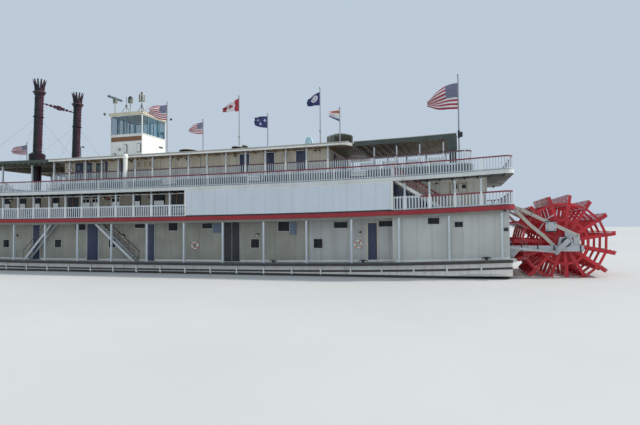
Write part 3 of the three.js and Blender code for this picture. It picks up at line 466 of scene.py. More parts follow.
def bunting(name, pattern):
    """Light woven cloth with a pattern laid out by its own weave, u along the fly and v up the hoist."""
    p = Paint(name, 0.8)
    p.place = p.place.node.outputs["UV"]
    u, v = p.part("X"), p.part("Y")
    cloth_red, cloth_white, cloth_blue, pale_blue = ((0.42, 0.02, 0.045), (0.8, 0.77, 0.78),
                                                     (0.02, 0.03, 0.14), (0.5, 0.55, 0.75))

    def below(source, limit):
        return p.math("LESS_THAN", source, limit)

    def over(source, limit):
        return p.math("GREATER_THAN", source, limit)

    def from_middle(source):
        return p.math("ABSOLUTE", p.minus(source, 0.5))

    def round_spot(du, dv, size):
        return below(p.add(p.times(du, du), p.times(dv, dv)), size)

    def disc(cx, cy, rx, ry):
        return round_spot(p.math("DIVIDE", p.minus(u, cx), rx), p.math("DIVIDE", p.minus(v, cy), ry), 1.0)

    def cell(source):
        return p.minus(p.math("FRACT", source), 0.5)

    if pattern == "stripes":
        shade = p.mix(below(p.math("FRACT", p.times(v, 6.5)), 0.5), cloth_white, cloth_red)
        row = p.times(v, 16.7)
        shift = p.times(below(p.math("FRACT", p.times(row, 0.5)), 0.5), 0.5)
        spot = round_spot(cell(p.add(p.times(u, 14.5), shift)), cell(row), 0.07)
        canton = p.times(below(u, 0.4), over(v, 6 / 13))
        shade = p.mix(canton, shade, p.mix(spot, cloth_blue, cloth_white))
    elif pattern == "pale":
        leaf = p.add(from_middle(u), p.times(from_middle(v), 0.6))
        shade = p.mix(p.times(over(u, 0.25), below(u, 0.75)), cloth_red,
                      p.mix(below(leaf, 0.17), cloth_white, cloth_red))
    elif pattern == "disc":
        shade = cloth_blue
        for rx, ry, tone in ((0.26, 0.3, cloth_white), (0.17, 0.2, (0.35, 0.33, 0.42)),
                             (0.09, 0.12, cloth_white)):
            shade = p.mix(disc(0.42, 0.6, rx, ry), shade, tone)
    elif pattern == "three":
        shade = cloth_blue
        for cx, cy in ((0.2, 0.66), (0.78, 0.72), (0.5, 0.32)):
            shade = p.mix(disc(cx, cy, 0.05, 0.15), shade, pale_blue)
            shade = p.mix(disc(cx, cy - 0.02, 0.11, 0.06), shade, pale_blue)
    else:
        shade = p.mix(over(v, 0.7), cloth_white, (0.45, 0.13, 0.05))
        shade = p.mix(below(v, 0.22), shade, (0.05, 0.1, 0.2))
    shade = p.mix(p.times(p.noise(7), 0.25), shade, (0.1, 0.08, 0.1))
    p.bump(p.times(p.math("SINE", p.times(u, 700)), p.math("SINE", p.times(v, 420))), 0.25, 0.0003)
    p.shader.inputs["Sheen Weight"].default_value = 0.2
    return p.colour(shade)


PILOT = {"fore": -40.49, "aft": -36.52, "half": 2.14, "floor": DRAFT + 13.1, "sill": DRAFT + 14.4,
         "head": DRAFT + 16.36, "eave": DRAFT + 16.44, "top": DRAFT + 16.71, "bars": 0.08, "bays": 4}


def pilothouse_paint():
    """White walls and corner posts, with blue-grey bars between the panes."""
    p = Paint("pilothouse_paint", 0.4)
    middle, long_half, corner_wide = (PILOT["fore"] + PILOT["aft"]) / 2, 1.985, 0.12
    x = p.math("ABSOLUTE", p.minus(p.part("X"), (middle - MIDDLE_X) * SCALE))
    y = p.math("ABSOLUTE", p.part("Y"))
    corner = p.times(p.above(x, (long_half - corner_wide) * SCALE, 0.0004),
                     p.above(y, (PILOT["half"] - corner_wide) * SCALE, 0.0004))
    bars = p.times(p.between(p.part("Z"), (PILOT["sill"] + 0.02) * SCALE,
                               (PILOT["head"] - 0.02) * SCALE, 0.0004),
                   p.minus(1.0, corner))
    streaks = p.times(p.noise(26, (1, 1, 0.06), low=0.5, high=0.8), 0.3)
    p.bump(p.noise(110, detail=6, low=0.3, high=0.7), 0.12, 0.0006)
    return p.colour(p.mix(bars, p.mix(streaks, (0.76, 0.77, 0.73), (0.45, 0.42, 0.36)), BAR_BLUE))


WHITE = (0.79, 0.79, 0.75)
# blue grey for the white posts: painted shade, since the ship's near side lies out of the sun
SHADED_POST = (0.62, 0.66, 0.68)
CANOPY, CANOPY_TOP = (0.05, 0.07, 0.058), (0.06, 0.08, 0.07)
DECK_TOP = (0.33, 0.35, 0.36)
OXIDE = (0.23, 0.045, 0.035)
BAR_BLUE = (0.12, 0.2, 0.24)

white = painted("white_paint", WHITE)
# the white deck edge is dimmed as painted shade, and its near-black underside is painted shade
fascia_white_shaded = painted("deck_edge_white_shaded", (0.64, 0.66, 0.64), under=(0.06, 0.055, 0.05), top=DECK_TOP)
# the pickets are white, dimmed to blue grey as painted shade
picket_white_shaded = painted("picket_white_shaded", (0.57, 0.62, 0.66))
wall = painted("wall_paint", (0.63, 0.61, 0.53), boards=("X", 0.9), streak=0.25)
# grey main-deck walls: painted shade on pale paint
shade_wall = painted("main_wall_painted_shade", (0.5, 0.51, 0.48), boards=("X", 1.2), streak=0.3, seam_depth=0.2)
# the dark brown on faces that look down is painted shade under the boiler deck
red = painted("red_trim", (0.31, 0.012, 0.02), streak=0.3, under=(0.1, 0.075, 0.055), top=DECK_TOP)
rail_red = painted("rail_red", (0.2, 0.02, 0.035), 0.4)
rail_dark = painted("rail_dark", (0.13, 0.06, 0.07), 0.4)
post_white_shaded = painted("post_white_shaded", SHADED_POST)
sign_paint = painted("sign_paint", (0.6, 0.65, 0.7), boards=("X", 1.22), streak=0.12, patch=0.05,
                     seam_depth=0.12)
roof_paint = painted("roof_grey", (0.5, 0.51, 0.46), under=(0.3, 0.2, 0.12), top=(0.52, 0.53, 0.5),
                     bands=((ROOF + 0.2, ROOF + 2.5, (0.09, 0.11, 0.07)),))
canopy = painted("canopy_green", CANOPY, under=(0.2, 0.15, 0.1), top=CANOPY_TOP)
canopy_posts = painted("canopy_and_posts", CANOPY, under=(0.3, 0.25, 0.18), top=CANOPY_TOP,
                       bands=((HURRICANE, ROOF - 0.48, SHADED_POST),))
# grey post tops under the hurricane deck and the roof, and a near-black band just under the hurricane deck:
# painted shade under the overhangs
gallery_paint_with_shade = painted("gallery_paint_with_shade", WHITE, bands=(
    (BOILER + 1.2, HURRICANE - 0.53, (0.5, 0.54, 0.56)),
    (HURRICANE - 0.53, HURRICANE - 0.29, (0.05, 0.042, 0.035)), (TEXAS + 1.2, ROOF, (0.5, 0.53, 0.53))))
# blue-grey posts with a dark band under the boiler deck: painted shade on the white posts and the beam over
# them
main_posts = painted("main_posts_painted_shade", (0.55, 0.6, 0.64), bands=(
    (BOILER - BOILER_THICK - 0.23, BOILER, (0.2, 0.19, 0.16)),))
# near-black side and underside of the white texas deck: painted shade behind the balusters
texas_deck_painted_shade = painted("texas_deck_painted_shade", (0.1, 0.13, 0.135), under=(0.1, 0.09, 0.08), top=DECK_TOP)
deck = deck_boards("deck_paint", (0.3, 0.31, 0.3))
navy = painted("door_navy", (0.02, 0.035, 0.09), 0.35, boards=("X", 0.4))
green = painted("dark_green", (0.025, 0.06, 0.045), 0.4)
steel = metal("machine_steel", (0.5, 0.51, 0.52))
timber = painted("timber_grey", (0.5, 0.52, 0.54), streak=0.5, rust=0.5)
iron = metal("boiler_iron", (0.09, 0.09, 0.09), 0.6, 0.8)
black = chimney_paint()
brass = metal("brass", (0.7, 0.48, 0.18), 0.25, 1.0, (0.15, 0.09, 0.03), 0.5)
hull = hull_paint()
wheel_red = wheel_paint("wheel_red", (0.62, 0.006, 0.018), (0.5, 0.1, 0.12), 0.2)
# the pink grey on the bucket planks is partly faded paint, partly painted sunlight
bucket_red_faded_and_sunlit = wheel_paint("bucket_red_faded_and_sunlit", (0.45, 0.02, 0.03), (0.56, 0.42, 0.44), 0.85)
rudder_red = painted("rudder_red", OXIDE)
stage_wood = deck_boards("stage_wood", (0.36, 0.25, 0.15))
brown = painted("brown_board", (0.22, 0.1, 0.04), 0.5, streak=0.2)
dark = painted("dark_fitting", (0.025, 0.025, 0.03), 0.5)
pane = glass()
dark_pane = glass("dark_glass", (0.012, 0.014, 0.016), shine=0.15)
clear_pane = glass("clear_glass", (0.01, 0.08, 0.13), 0.24)
curtain = painted("curtain", (0.9, 0.92, 0.9), 0.9, streak=0.05, patch=0.03)
# the dark brown fore length of the saloon wall is painted shade under the deep gallery; the aft length is the
# cream paint
saloon_wall = long_wall("saloon_wall_fore_shade_paint", (0.33, 0.29, 0.22), (0.66, 0.64, 0.55), -28.4, 0.9)
# the main house walls are grey as painted shade, darker along the fore length
main_wall = long_wall("main_house_painted_shade", (0.33, 0.33, 0.28), (0.47, 0.48, 0.46), -17.0, 1.2)
texas_wall = long_wall("texas_wall_paint", (0.62, 0.56, 0.44), (0.66, 0.6, 0.47), -33, 1.5)
brace_paint = painted("brace_paint", (0.5, 0.47, 0.41), streak=0.5, rust=0.5)
basket_red = painted("basket_red", (0.5, 0.05, 0.02), 0.7, patch=0.5)
leaf_green = painted("leaf_green", (0.05, 0.12, 0.03), 0.7, patch=0.5)
rope = painted("rope", (0.42, 0.36, 0.26), 0.9, patch=0.3)
cream_trim = painted("cream_trim", (0.62, 0.56, 0.42), 0.5)
wheel_dark = metal("wheel_bolts", (0.12, 0.02, 0.02), 0.5, 0.5)
stair_pink = painted("stair_pink", (0.5, 0.27, 0.25), 0.5, patch=0.3)
board_brown = painted("soffit_board", (0.36, 0.3, 0.22), 0.6, patch=0.35)
dark_strake = painted("rubbing_strake", (0.05, 0.045, 0.045), 0.6, rust=0.5)
vent_blue = painted("vent_blue", (0.42, 0.6, 0.68), 0.4)
chimney_ring = painted("chimney_ring", (0.07, 0.035, 0.045), 0.4)
pole_grey = painted("pole_grey", (0.3, 0.31, 0.34), 0.4)
bronze = metal("whistle_bronze", (0.1, 0.11, 0.07), 0.45, 0.5)
window_blue = painted("pilothouse_window_frames", BAR_BLUE, 0.4)
blue_grey = painted("shutter_blue_grey", (0.14, 0.2, 0.27), 0.5, boards=("X", 0.3))
pilot_roof = painted("pilothouse_roof_paint", (0.7, 0.68, 0.52), bands=(
    (DRAFT + 16.74, DRAFT + 18.0, (0.35, 0.37, 0.36)), (DRAFT + 18.0, DRAFT + 20, (0.13, 0.15, 0.12))))
radar_grey = painted("radar_grey", (0.07, 0.1, 0.12), 0.4)
radar_yellow = painted("radar_yellow", (0.55, 0.5, 0.08), 0.5)
house_paint = pilothouse_paint()
roof_edge = painted("roof_edge", (0.42, 0.4, 0.34), 0.5)
lamp_glow = painted("lamp_lens", (0.75, 0.68, 0.5), 0.2)
ring_white = painted("ring_white", (0.8, 0.78, 0.74), 0.6)
ring_orange = painted("ring_orange", (0.75, 0.16, 0.03), 0.6)

FINISH = {  # nodes that aren't plain white, without their side's name
    "hull_bow": hull, "hull": hull, "main_deck": deck, "main_deck_aft": deck, "boiler_deck": red,
    "main_deck_posts": main_posts, "hurricane_deck": fascia_white_shaded, "texas_deck": texas_deck_painted_shade,
    "texas_roof": roof_paint, "fore_canopy": canopy_posts, "aft_canopy": canopy_posts,
    "pilothouse_roof": pilot_roof, "pilothouse": house_paint, "pilothouse_door": house_paint,
    "radar_scanner": radar_grey, "boilers": iron, "chimneys": black, "paddle_wheel": wheel_red,
    "wheel_shaft": steel, "main_house": main_wall, "engine_house": shade_wall, "boiler_house": saloon_wall,
    "texas_house": texas_wall, "salon_door_fore": wall, "salon_door_aft": wall, "engine_room_door": navy,
    "boiler_deck_gallery": gallery_paint_with_shade, "texas_deck_gallery": gallery_paint_with_shade, "sign_board": sign_paint,
    "pitman": steel, "cylinder_timber": timber, "rudder": rudder_red, "landing_stage": stage_wood,
}
ROUNDED = ("pilothouse", "pilothouse_roof", "hurricane_deck", "boiler_deck", "texas_roof", "main_deck_posts")


def dress_nodes():
    for name, node in NODES.items():
        kind = name.removesuffix("_port").removesuffix("_starboard")
        node.data.materials.clear()
        node.data.materials.append(FINISH.get(kind, white))
    for name in ROUNDED:
        soften(NODES[name], 0.02)


# Plans of the deck edges
def edge_path(fore_x, fore_deep, aft_x, half, corner, inset):
    """Closed plan of a deck's edge, set in, from the bow round by starboard, the stern and port."""
    path = []
    for i in range(17):
        turn = math.pi / 2 * i / 16
        path.append((fore_x + fore_deep - (fore_deep - inset) * math.cos(turn),
                     (half - inset) * math.sin(turn)))
    for i in range(9):
        turn = math.pi / 2 * i / 8
        path.append((aft_x - corner + (corner - inset) * math.sin(turn),
                     half - corner + (corner - inset) * math.cos(turn)))
    return path + [(x, -y) for x, y in reversed(path[1:])]


def along(path, pitch):
    """Points and directions at an even pitch along a closed path."""
    closed = path + [path[0]]
    lengths = [math.dist(a, b) for a, b in zip(closed, closed[1:])]
    total = sum(lengths)
    count = round(total / pitch)
    places, walked, leg = [], 0.0, 0
    for i in range(count):
        goal = total * i / count
        while walked + lengths[leg] < goal:
            walked += lengths[leg]
            leg += 1
        (ax, ay), (bx, by) = closed[leg], closed[leg + 1]
        share = (goal - walked) / lengths[leg]
        places.append(((ax + (bx - ax) * share, ay + (by - ay) * share),
                       ((bx - ax) / lengths[leg], (by - ay) / lengths[leg])))
    return places


def slats(form, places, level, low, high, wide, thick, pointed=0.0):
    """Upright boards along a rail."""
    for (x, y), (dx, dy) in places:
        base = level + sheer(x)
        tx, ty, nx, ny = dx * wide / 2, dy * wide / 2, -dy * thick / 2, dx * thick / 2
        corners = [(x - tx - nx, y - ty - ny), (x + tx - nx, y + ty - ny),
                   (x + tx + nx, y + ty + ny), (x - tx + nx, y - ty + ny)]
        form.hexa([(a, b, base + low) for a, b in corners], [(a, b, base + high) for a, b in corners])
        if pointed:
            peak = base + high + pointed
            form.add([(a, b, base + high) for a, b in corners] +
                     [(x - nx, y - ny, peak), (x + nx, y + ny, peak)],
                     [(0, 1, 4), (2, 3, 5), (1, 2, 5, 4), (3, 0, 4, 5)])


def rail_bar(form, path, level, low, high, wide, kind=None):
    """A flat bar that follows a closed plan and the sheer."""
    path = with_knots(path)
    rings = []
    for i, (x, y) in enumerate(path):
        line = (Vector(path[(i + 1) % len(path)]) - Vector(path[i - 1])).normalized()
        ax, ay = Vector((-line.y, line.x)) * wide / 2
        base = level + sheer(x)
        rings.append([(x - ax, y - ay, base + high), (x + ax, y + ay, base + high),
                      (x + ax, y + ay, base + low), (x - ax, y - ay, base + low)])
    form.skin(rings, kind, loop=True)


def with_knots(path):
    """The path with extra points where the sheer bends."""
    dense = []
    for (ax, ay), (bx, by) in zip(path, path[1:] + [path[0]]):
        dense.append((ax, ay))
        inner = knots(min(ax, bx), max(ax, bx))[1:-1]
        for x in (inner if ax < bx else reversed(inner)):
            dense.append((x, ay + (by - ay) * (x - ax) / (bx - ax)))
    return dense


BOILER_PATH = edge_path(-60, 4, 0, HALF_BEAM, 0.9, 0.15)
HURRICANE_PATH = edge_path(-59.5, 4, 0, HALF_BEAM, 0.9, 0.15)
TEXAS_PATH = edge_path(-46, 1, -3, 5.5, 0.8, 0.16)
SIGN_X = (-28.4, -9.45)
GATE_END = -7.2
RAILS = (  # deck, plan, level, cap's rise, foot bar, pickets to a bay, their foot, width, depth, cap's paint
    ("boiler", BOILER_PATH, BOILER, 0.035, (0.07, 0.16), 8, 0.03, 0.11, 0.035, rail_red),
    ("hurricane", HURRICANE_PATH, HURRICANE, 0.02, (0.08, 0.15), 9, 0.02, 0.085, 0.03, rail_red),
    ("texas", TEXAS_PATH, TEXAS, 0.03, (0.08, 0.14), 10, 0.02, 0.07, 0.03, rail_dark))


def make_rails():
    for name, path, level, rise, foot, count, base, wide, deep, paint in RAILS:
        form = Form(picket_white_shaded)
        rail_bar(form, path, level, RAIL_TOP - 0.08, RAIL_TOP + rise, 0.08, paint)
        rail_bar(form, path, level, *foot, 0.05)
        places = along(path, BAY / count)
        if name == "boiler":
            def beside(place, x0, x1):
                return x0 < place[0][0] < x1 and abs(place[0][1]) > 6.8

            gate = [p for p in places if beside(p, SIGN_X[1], GATE_END)]
            places = [p for p in places if not beside(p, *SIGN_X) and p not in gate]
            slats(form, gate, level, base, RAIL_TOP + 0.02, 0.13, deep, pointed=0.12)
            for side in PAIR:
                for x0, x1 in ((-56.0, SIGN_X[0]), (SIGN_X[1], GATE_END)):
                    form.run(x0, x1, side * 6.8, side * 6.9,
                             level + RAIL_TOP - 0.085, level + RAIL_TOP + 0.04)
        slats(form, places, level, base, RAIL_TOP - 0.06, wide, deep)
        form.make(f"{name}_deck_pickets", "white_paint")

    form = Form(dark)
    rail_bar(form, BOILER_PATH, BOILER, 0.0, 0.05, 0.24)
    rail_bar(form, HURRICANE_PATH, HURRICANE, 0.0, 0.05, 0.24, deck)
    form.make("deck_edge_mouldings", "white_paint")


# Doors, windows and fittings on the walls
def outer_bars(x0, x1, low, high, edge):
    """Spans of the four bars round an opening, the posts as tall as the frame."""
    return ((x0 - edge, x0, low - edge, high + edge), (x1, x1 + edge, low - edge, high + edge),
            (x0, x1, high, high + edge), (x0, x1, low - edge, low))


def inner_bars(a, b, low, high):
    """Spans of the four bars just inside an opening."""
    edge = 0.035
    return ((a, b, low, low + edge), (a, b, high - edge, high),
            (a, a + edge, low, high), (b - edge, b, low, high))


def window(form, x0, x1, y, low, high, side):
    """A white window of two lights on the outer face of a wall at y."""
    out, edge = side * 0.06, 0.06
    form.block(x0, x1, y + side * 0.005, y + out * 0.5, low, high, pane, True)
    for a, b in ((x0 - edge, x0 + 0.02), (x1 - 0.02, x1 + edge)):
        form.plate(a, b, y, out, low - edge, high + edge, white)
    form.plate(x0, x1, y, out, high, high + edge, white)
    form.plate(x0 - edge, x1 + edge, y, out * 1.6, low - edge, low, white)
    middle = x0 + (x1 - x0) / 2
    form.plate(middle - 0.02, middle + 0.02, y, out * 0.8, low, high, white)


def dark_window(form, x0, x1, y, low, high, side):
    """A plain dark light in a wall-coloured frame."""
    for a, b, c, d in outer_bars(x0, x1, low, high, 0.05):
        form.block(a, b, y, y + side * 0.05, c, d, shade_wall)
    form.block(x0, x1, y, y + side * 0.02, low, high, dark_pane)
    form.bar((x0 + x1) / 2, 0.02, y, y + side * 0.04, low, high, dark)


def door(form, x0, x1, y, low, high, side, leaf=navy, frame_paint=white, light=True):
    """A two-panel door in its frame, with a handle and perhaps a light."""
    out, edge, wide, tall = side * 0.06, 0.07, x1 - x0, high - low
    form.block(x0, x1, y + side * 0.004, y + out * 0.6, low + 0.03, high, leaf, True)
    for a, b in ((x0 - edge, x0), (x1, x1 + edge)):
        form.plate(a, b, y, out, low, high + edge, frame_paint)
    form.plate(x0, x1, y, out, high, high + edge, frame_paint)
    details = [(0.16, 0.5, 0.85, 0.08, 0.42, leaf), (0.16, 0.5, 0.85, 0.5, 0.92, leaf)]
    if light:
        details.append((0.28, 0.8, 1.0, 0.66, 0.86, pane))
    for inset, y0, y1, z0, z1, kind in details:
        form.block(x0 + inset * wide, x1 - inset * wide, y + out * y0, y + out * y1,
                   low + z0 * tall, low + z1 * tall, kind, True)
    form.lathe((x1 - 0.12 * wide, y + out * 0.6, low + 0.46 * tall + sheer(x1)),
               [(0.0, 0), (0.03, 0.01), (0.03, 0.05), (0.0, 0.07)], 10, dark, (0, side, 0))


def lamp(form, x, y, z, side):
    """A bracket lamp with a hood on a wall."""
    z, tip = z + sheer(x), y + side * 0.2
    form.bar(x, 0.05, y, y + side * 0.04, z - 0.12, z + 0.12, dark)
    form.tube([(x, y, z + 0.08), (x, y + side * 0.16, z + 0.12), (x, tip, z + 0.06)], 0.02, 6, dark)
    form.lathe((x, tip, z - 0.18), [(0.0, 0), (0.07, 0.02), (0.09, 0.12), (0.07, 0.2), (0.0, 0.21)],
               12, lamp_glow)
    form.lathe((x, tip, z - 0.02), [(0.13, 0), (0.1, 0.05), (0.03, 0.1), (0.0, 0.11)], 12, dark)


def end_doors(form, level, ends, places, half, light_half, sill):
    """Doors with a light in a cabin's two end walls."""
    for x, facing in zip(ends, PAIR):
        z = level + sheer(x)
        for y in places:
            form.block(x, x + facing * 0.05, y - half, y + half, z + 0.03, z + 2.05, navy)
            form.block(x, x + facing * 0.08, y - light_half, y + light_half, z + sill, z + 1.8, pane)


def make_texas_fittings():
    form = Form(white)
    low, high, ends = TEXAS, TEXAS + 2.22, (-44.3, -15.4)
    for side in PAIR:
        y = side * TEXAS_WALL
        for x0, x1 in ((-24.12, -23.13), (-21.46, -20.61), (-18.48, -17.5)):
            door(form, x0, x1, y, low, high, side, light=False)
        for x0, x1 in ((-31.6, -30.9), (-29.2, -28.3), (-26.9, -26.2), (-22.75, -21.8), (-19.9, -19.1)):
            door(form, x0, x1, y, low, high - 0.15, side, cream_trim, wall, False)
        for x0, x1 in ((-42.93, -41.89), (-41.65, -40.81)):
            door(form, x0, x1, y, low, high, side, navy, wall)
        form.plate(-40.32, -39.41, y, side * 0.04, low + 0.03, high - 0.1, dark)
        form.plate(-40.2, -39.75, y, side * 0.05, low + 1.3, high - 0.3, pane)
        for x0, x1 in ((-39.22, -38.94), (-37.63, -37.42), (-37.32, -37.12)):
            form.plate(x0, x1, y, side * 0.05, low + 0.2, high, navy)
        for x in (-35.2, -34.43, -33.89):
            form.plate(x - 0.17, x + 0.17, y, side * 0.05, DRAFT + 10.36, DRAFT + 11.0, cream_trim)
            form.plate(x - 0.11, x + 0.11, y, side * 0.06, DRAFT + 10.42, DRAFT + 10.94, stage_wood)
        form.block(-19.6, -19.35, y, y + side * 0.12, DRAFT + 10.6, DRAFT + 11.05, stage_wood)
        for x in (-36.06, -30.71, -29.78, -24.58, -16.68, -16.26):
            lamp(form, x, y, TEXAS + 2.1, side)
        form.run(*ends, y, y + side * 0.03, TEXAS, TEXAS + 0.14)
    end_doors(form, TEXAS, ends, (-2.2, 2.2), 0.45, 0.25, 1.3)
    form.make("texas_cabin_doors", "wall_paint")


SALOON_OPENINGS = ((-41.3, -40.35), (-40.0, -39.3), (-37.7, -36.8))
SALOON_LIGHTS = ((-51.4, -50.5), (-49.3, -48.4), (-47.4, -46.5),
                 (-45.0, -44.1), (-35.1, -34.3), (-32.9, -31.6))


def make_boiler_fittings():
    form = Form(white)
    low, sill, head, top, ends = BOILER, BOILER + 1.05, BOILER + 2.0, BOILER + 2.4, (-52.5, -2)
    for side in PAIR:
        y = side * SALOON_WALL
        for x0, x1 in SALOON_OPENINGS:
            for a, b, c, d in outer_bars(x0, x1, sill, head, 0.06):
                form.block(a, b, y - side * 0.1, y + side * 0.05, c, d, lift=True)
            form.bar((x0 + x1) / 2, 0.025, y - side * 0.06, y, sill, head, lift=True)
            form.block(x0, x1, y - side * 0.07, y - side * 0.05, low + 1.07, low + 1.65, curtain, True)
            form.plate(x0, x1, y, side * 0.03, head + 0.06, top, dark_pane)
        for x0, x1 in SALOON_LIGHTS:
            form.plate(x0, x1, y, side * 0.03, low + 0.95, top, dark_pane)
            form.plate(x0 + 0.12, x1 - 0.12, y, side * 0.035, sill, low + 1.65, curtain)
        for x0, x1 in ((-43.05, -41.7), (-31.05, -29.6)):
            form.plate(x0, x1, y, side * 0.03, low + 0.03, top, dark)
            form.bar((x0 + x1) / 2, 0.04, y, y + side * 0.05, low + 0.03, top, brown, True)
        for x in (-26.5, -24.5, -20.6, -18.6, -14.7, -12.7):
            window(form, x - 0.42, x + 0.42, y, sill, head, side)
        for x in (-22.6, -16.7, -10.7):
            door(form, x - 0.45, x + 0.45, y, low, head, side)
        for x in (-50.3, -38.5, -5.92, -26.0, -18.0):
            lamp(form, x, y, low + 2.1, side)
        form.run(*ends, y, y + side * 0.03, low, low + 0.16)
        form.run(*ends, y, y + side * 0.04, low + 2.25, low + 2.36)
    end_doors(form, low, ends, (-3.3, 0, 3.3), 0.5, 0.28, 1.2)
    form.make("saloon_windows", "wall_paint")


MAIN_LIGHTS = (  # x, x, sill, head, above the water
    (-42.06, -40.81, 4.11, 4.87), (-34.96, -33.81, 4.26, 4.66), (-31.2, -30.19, 3.98, 4.91),
    (-27.59, -26.52, 4.16, 4.65), (-19.95, -18.86, 3.86, 4.7), (-14.74, -13.54, 4.1, 4.62),
    (-10.8, -9.63, 4.19, 4.66))


def make_main_fittings():
    form = Form(white)
    for side in PAIR:
        y, far = side * MAIN_WALL, side * ENGINE_WALL
        for x0, x1, z0, z1 in MAIN_LIGHTS:
            dark_window(form, x0, x1, y, DRAFT + z0, DRAFT + z1, side)
        for x0, x1, z0, z1 in ((-6.64, -5.74, 4.35, 4.85), (-4.56, -3.92, 4.09, 4.51)):
            dark_window(form, x0, x1, far, DRAFT + z0, DRAFT + z1, side)
        for x in (-51.0, -44.2, -37.6, -22.2, -16.2):
            dark_window(form, x - 0.4, x + 0.4, y, MAIN + 1.3, MAIN + 2.1, side)
        for x0, x1, z1 in ((-47.42, -46.53, 4.69), (-40.57, -39.26, 4.72), (-33.58, -32.76, 4.62)):
            door(form, x0, x1, y, MAIN, DRAFT + z1 - sheer(x0), side, navy, shade_wall, False)
        for x0, x1 in ((-25.33, -24.55), (-24.5, -23.72)):
            door(form, x0, x1, y, MAIN, DRAFT + 4.7, side, dark, shade_wall, False)
        for x0, x1, z0, z1 in ((-26.45, -25.66, 3.73, 4.6), (-18.8, -18.2, 3.52, 4.6)):
            form.block(x0, x1, y, y + side * 0.06, DRAFT + z0, DRAFT + z1, blue_grey)
        for x in (-49.5, -36.2, -21.9, -12.4):
            lamp(form, x, y, MAIN + 2.5, side)
        lamp(form, -3.71, far, DRAFT + 5.2 - sheer(-3.71), side)
        form.block(-0.86, -0.54, far, far + side * 0.06, DRAFT + 3.74, DRAFT + 4.0, dark)
        form.run(-53, -9.4, y, y + side * 0.03, MAIN, MAIN + 0.16)
        form.run(-9.3, -0.45, far, far + side * 0.03, MAIN, MAIN + 0.16)
    form.make("main_house_windows", "wall_paint")


def make_life_rings():
    form = Form(ring_white)
    for side in PAIR:
        for x, y, z in ((-43.59, TEXAS_WALL, DRAFT + 10.37), (-52.0, 6.86, HURRICANE + 0.62),
                        (-28.3, MAIN_WALL, MAIN + 1.5), (-12.6, MAIN_WALL, MAIN + 1.5)):
            form.ring((x, side * (y + 0.09), z + sheer(x)), 0.3, 0.085, (0, 1, 0), 32, 10,
                      ([ring_white] * 3 + [ring_orange]) * 4)
    form.make("life_rings", "white_paint")


def make_beams():
    """Beams across the undersides of the decks, where they stand out past the cabins."""
    form = Form(dark)
    for x in steps(-56.0, -0.4, BAY / 2):
        # the beams under the hurricane and boiler decks are near black as painted shade under the decks
        beams = [(0.05, SALOON_WALL, 6.78, HURRICANE - HURRICANE_THICK, 0.13, dark),
                 (0.06, MAIN_WALL if x < -9.5 else ENGINE_WALL, 6.77, BOILER - BOILER_THICK, 0.14, dark)]
        if -44 < x < -15.5:
            beams.append((0.04, TEXAS_WALL, 5.7, ROOF - ROOF_THICK, 0.1, stage_wood))
        for side in PAIR:
            for half, inner, outer, top, deep, kind in beams:
                form.bar(x, half, side * (inner + 0.01), side * outer, top - deep, top, kind, True)
    form.make("deck_beams", "deck_paint")


# Flags and poles
FLAGS = (  # name, x, y, pole top, drop to the cloth, width, depth, sag and gather of the fly, curve, pattern
    ("fore", -54.08, 0, 14.64, 0.24, 2.3, 1.16, 0.35, 0.55, 2.0, "stripes"),
    ("pilot", -33.28, -2.5, 17.3, 0.2, 2.2, 1.62, 0.02, 0.6, 2.0, "stripes"),
    ("port_1", -28.28, -4, 14.84, 0.22, 1.6, 1.18, 0.6, 0.8, 2.2, "stripes"),
    ("tall_1", -26.28, 0, 18.07, 0.2, 1.9, 1.4, 1.0, 0.74, 1.0, "pale"),
    ("port_2", -21.48, -4, 14.93, 0.21, 1.32, 1.1, 0.05, 0.35, 2.0, "three"),
    ("tall_2", -17.44, 0, 18.16, 0.38, 1.32, 1.38, 0.72, 0.5, 1.1, "disc"),
    ("port_3", -14.47, -4, 14.98, 0.2, 0.97, 1.05, 0.02, 0.5, 1.0, "bands"),
    ("stern", -4.1, 0, 18.22, 0.74, 2.8, 2.44, 1.62, 0.8, 2.4, "stripes"),
)


def make_flag(number, name, x, y, top, drop, wide, deep, sag, gather, curve, pattern):
    """Bunting that blows forward from its pole: it waves along the fly and gathers in folds at its end."""
    nu, nv, waves, folds = 56, 26, 1.25, 1.5
    path = [(0.0, 0.0)]
    for i in range(nu):
        turn = 0.6 * math.sin(2 * math.pi * waves * i / nu + 0.7 * number) * (0.3 + 0.7 * i / nu)
        path.append((path[-1][0] - math.cos(turn), path[-1][1] + math.sin(turn)))
    scale = wide / -path[-1][0]
    head = DRAFT + top - drop
    verts, uvs = [], []
    for i, (px, py) in enumerate(path):
        share = i / nu
        squeeze = 1 - gather * share ** curve
        fold = math.sqrt(2 * (1 - squeeze)) * deep / (2 * math.pi * folds)
        for j in range(nv + 1):
            down = 1 - j / nv
            ripple = fold * math.sin(2 * math.pi * folds * down + 1.3 * number)
            lag = 0.05 * deep * math.sin(3 * math.pi * share + 2.2 * down) * share
            verts.append((x + px * scale, y + py * scale + ripple + lag,
                          head - sag * share ** curve - down * deep * squeeze))
            uvs.append((share, 1 - down))
    cloth = Form(bunting(f"bunting_{name}", pattern))
    row = nv + 1
    cloth.add(verts, [(i * row + j, i * row + j + 1, (i + 1) * row + j + 1, (i + 1) * row + j)
                      for i in range(nu) for j in range(nv)], soft=True)
    thing = cloth.make(f"flag_cloth_{name}", "flag_cloth")
    layer = thing.data.uv_layers.new(name="weave")
    for loop in thing.data.loops:
        layer.data[loop.index].uv = uvs[loop.vertex_index]
    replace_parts(thing, f"flag_{name}")


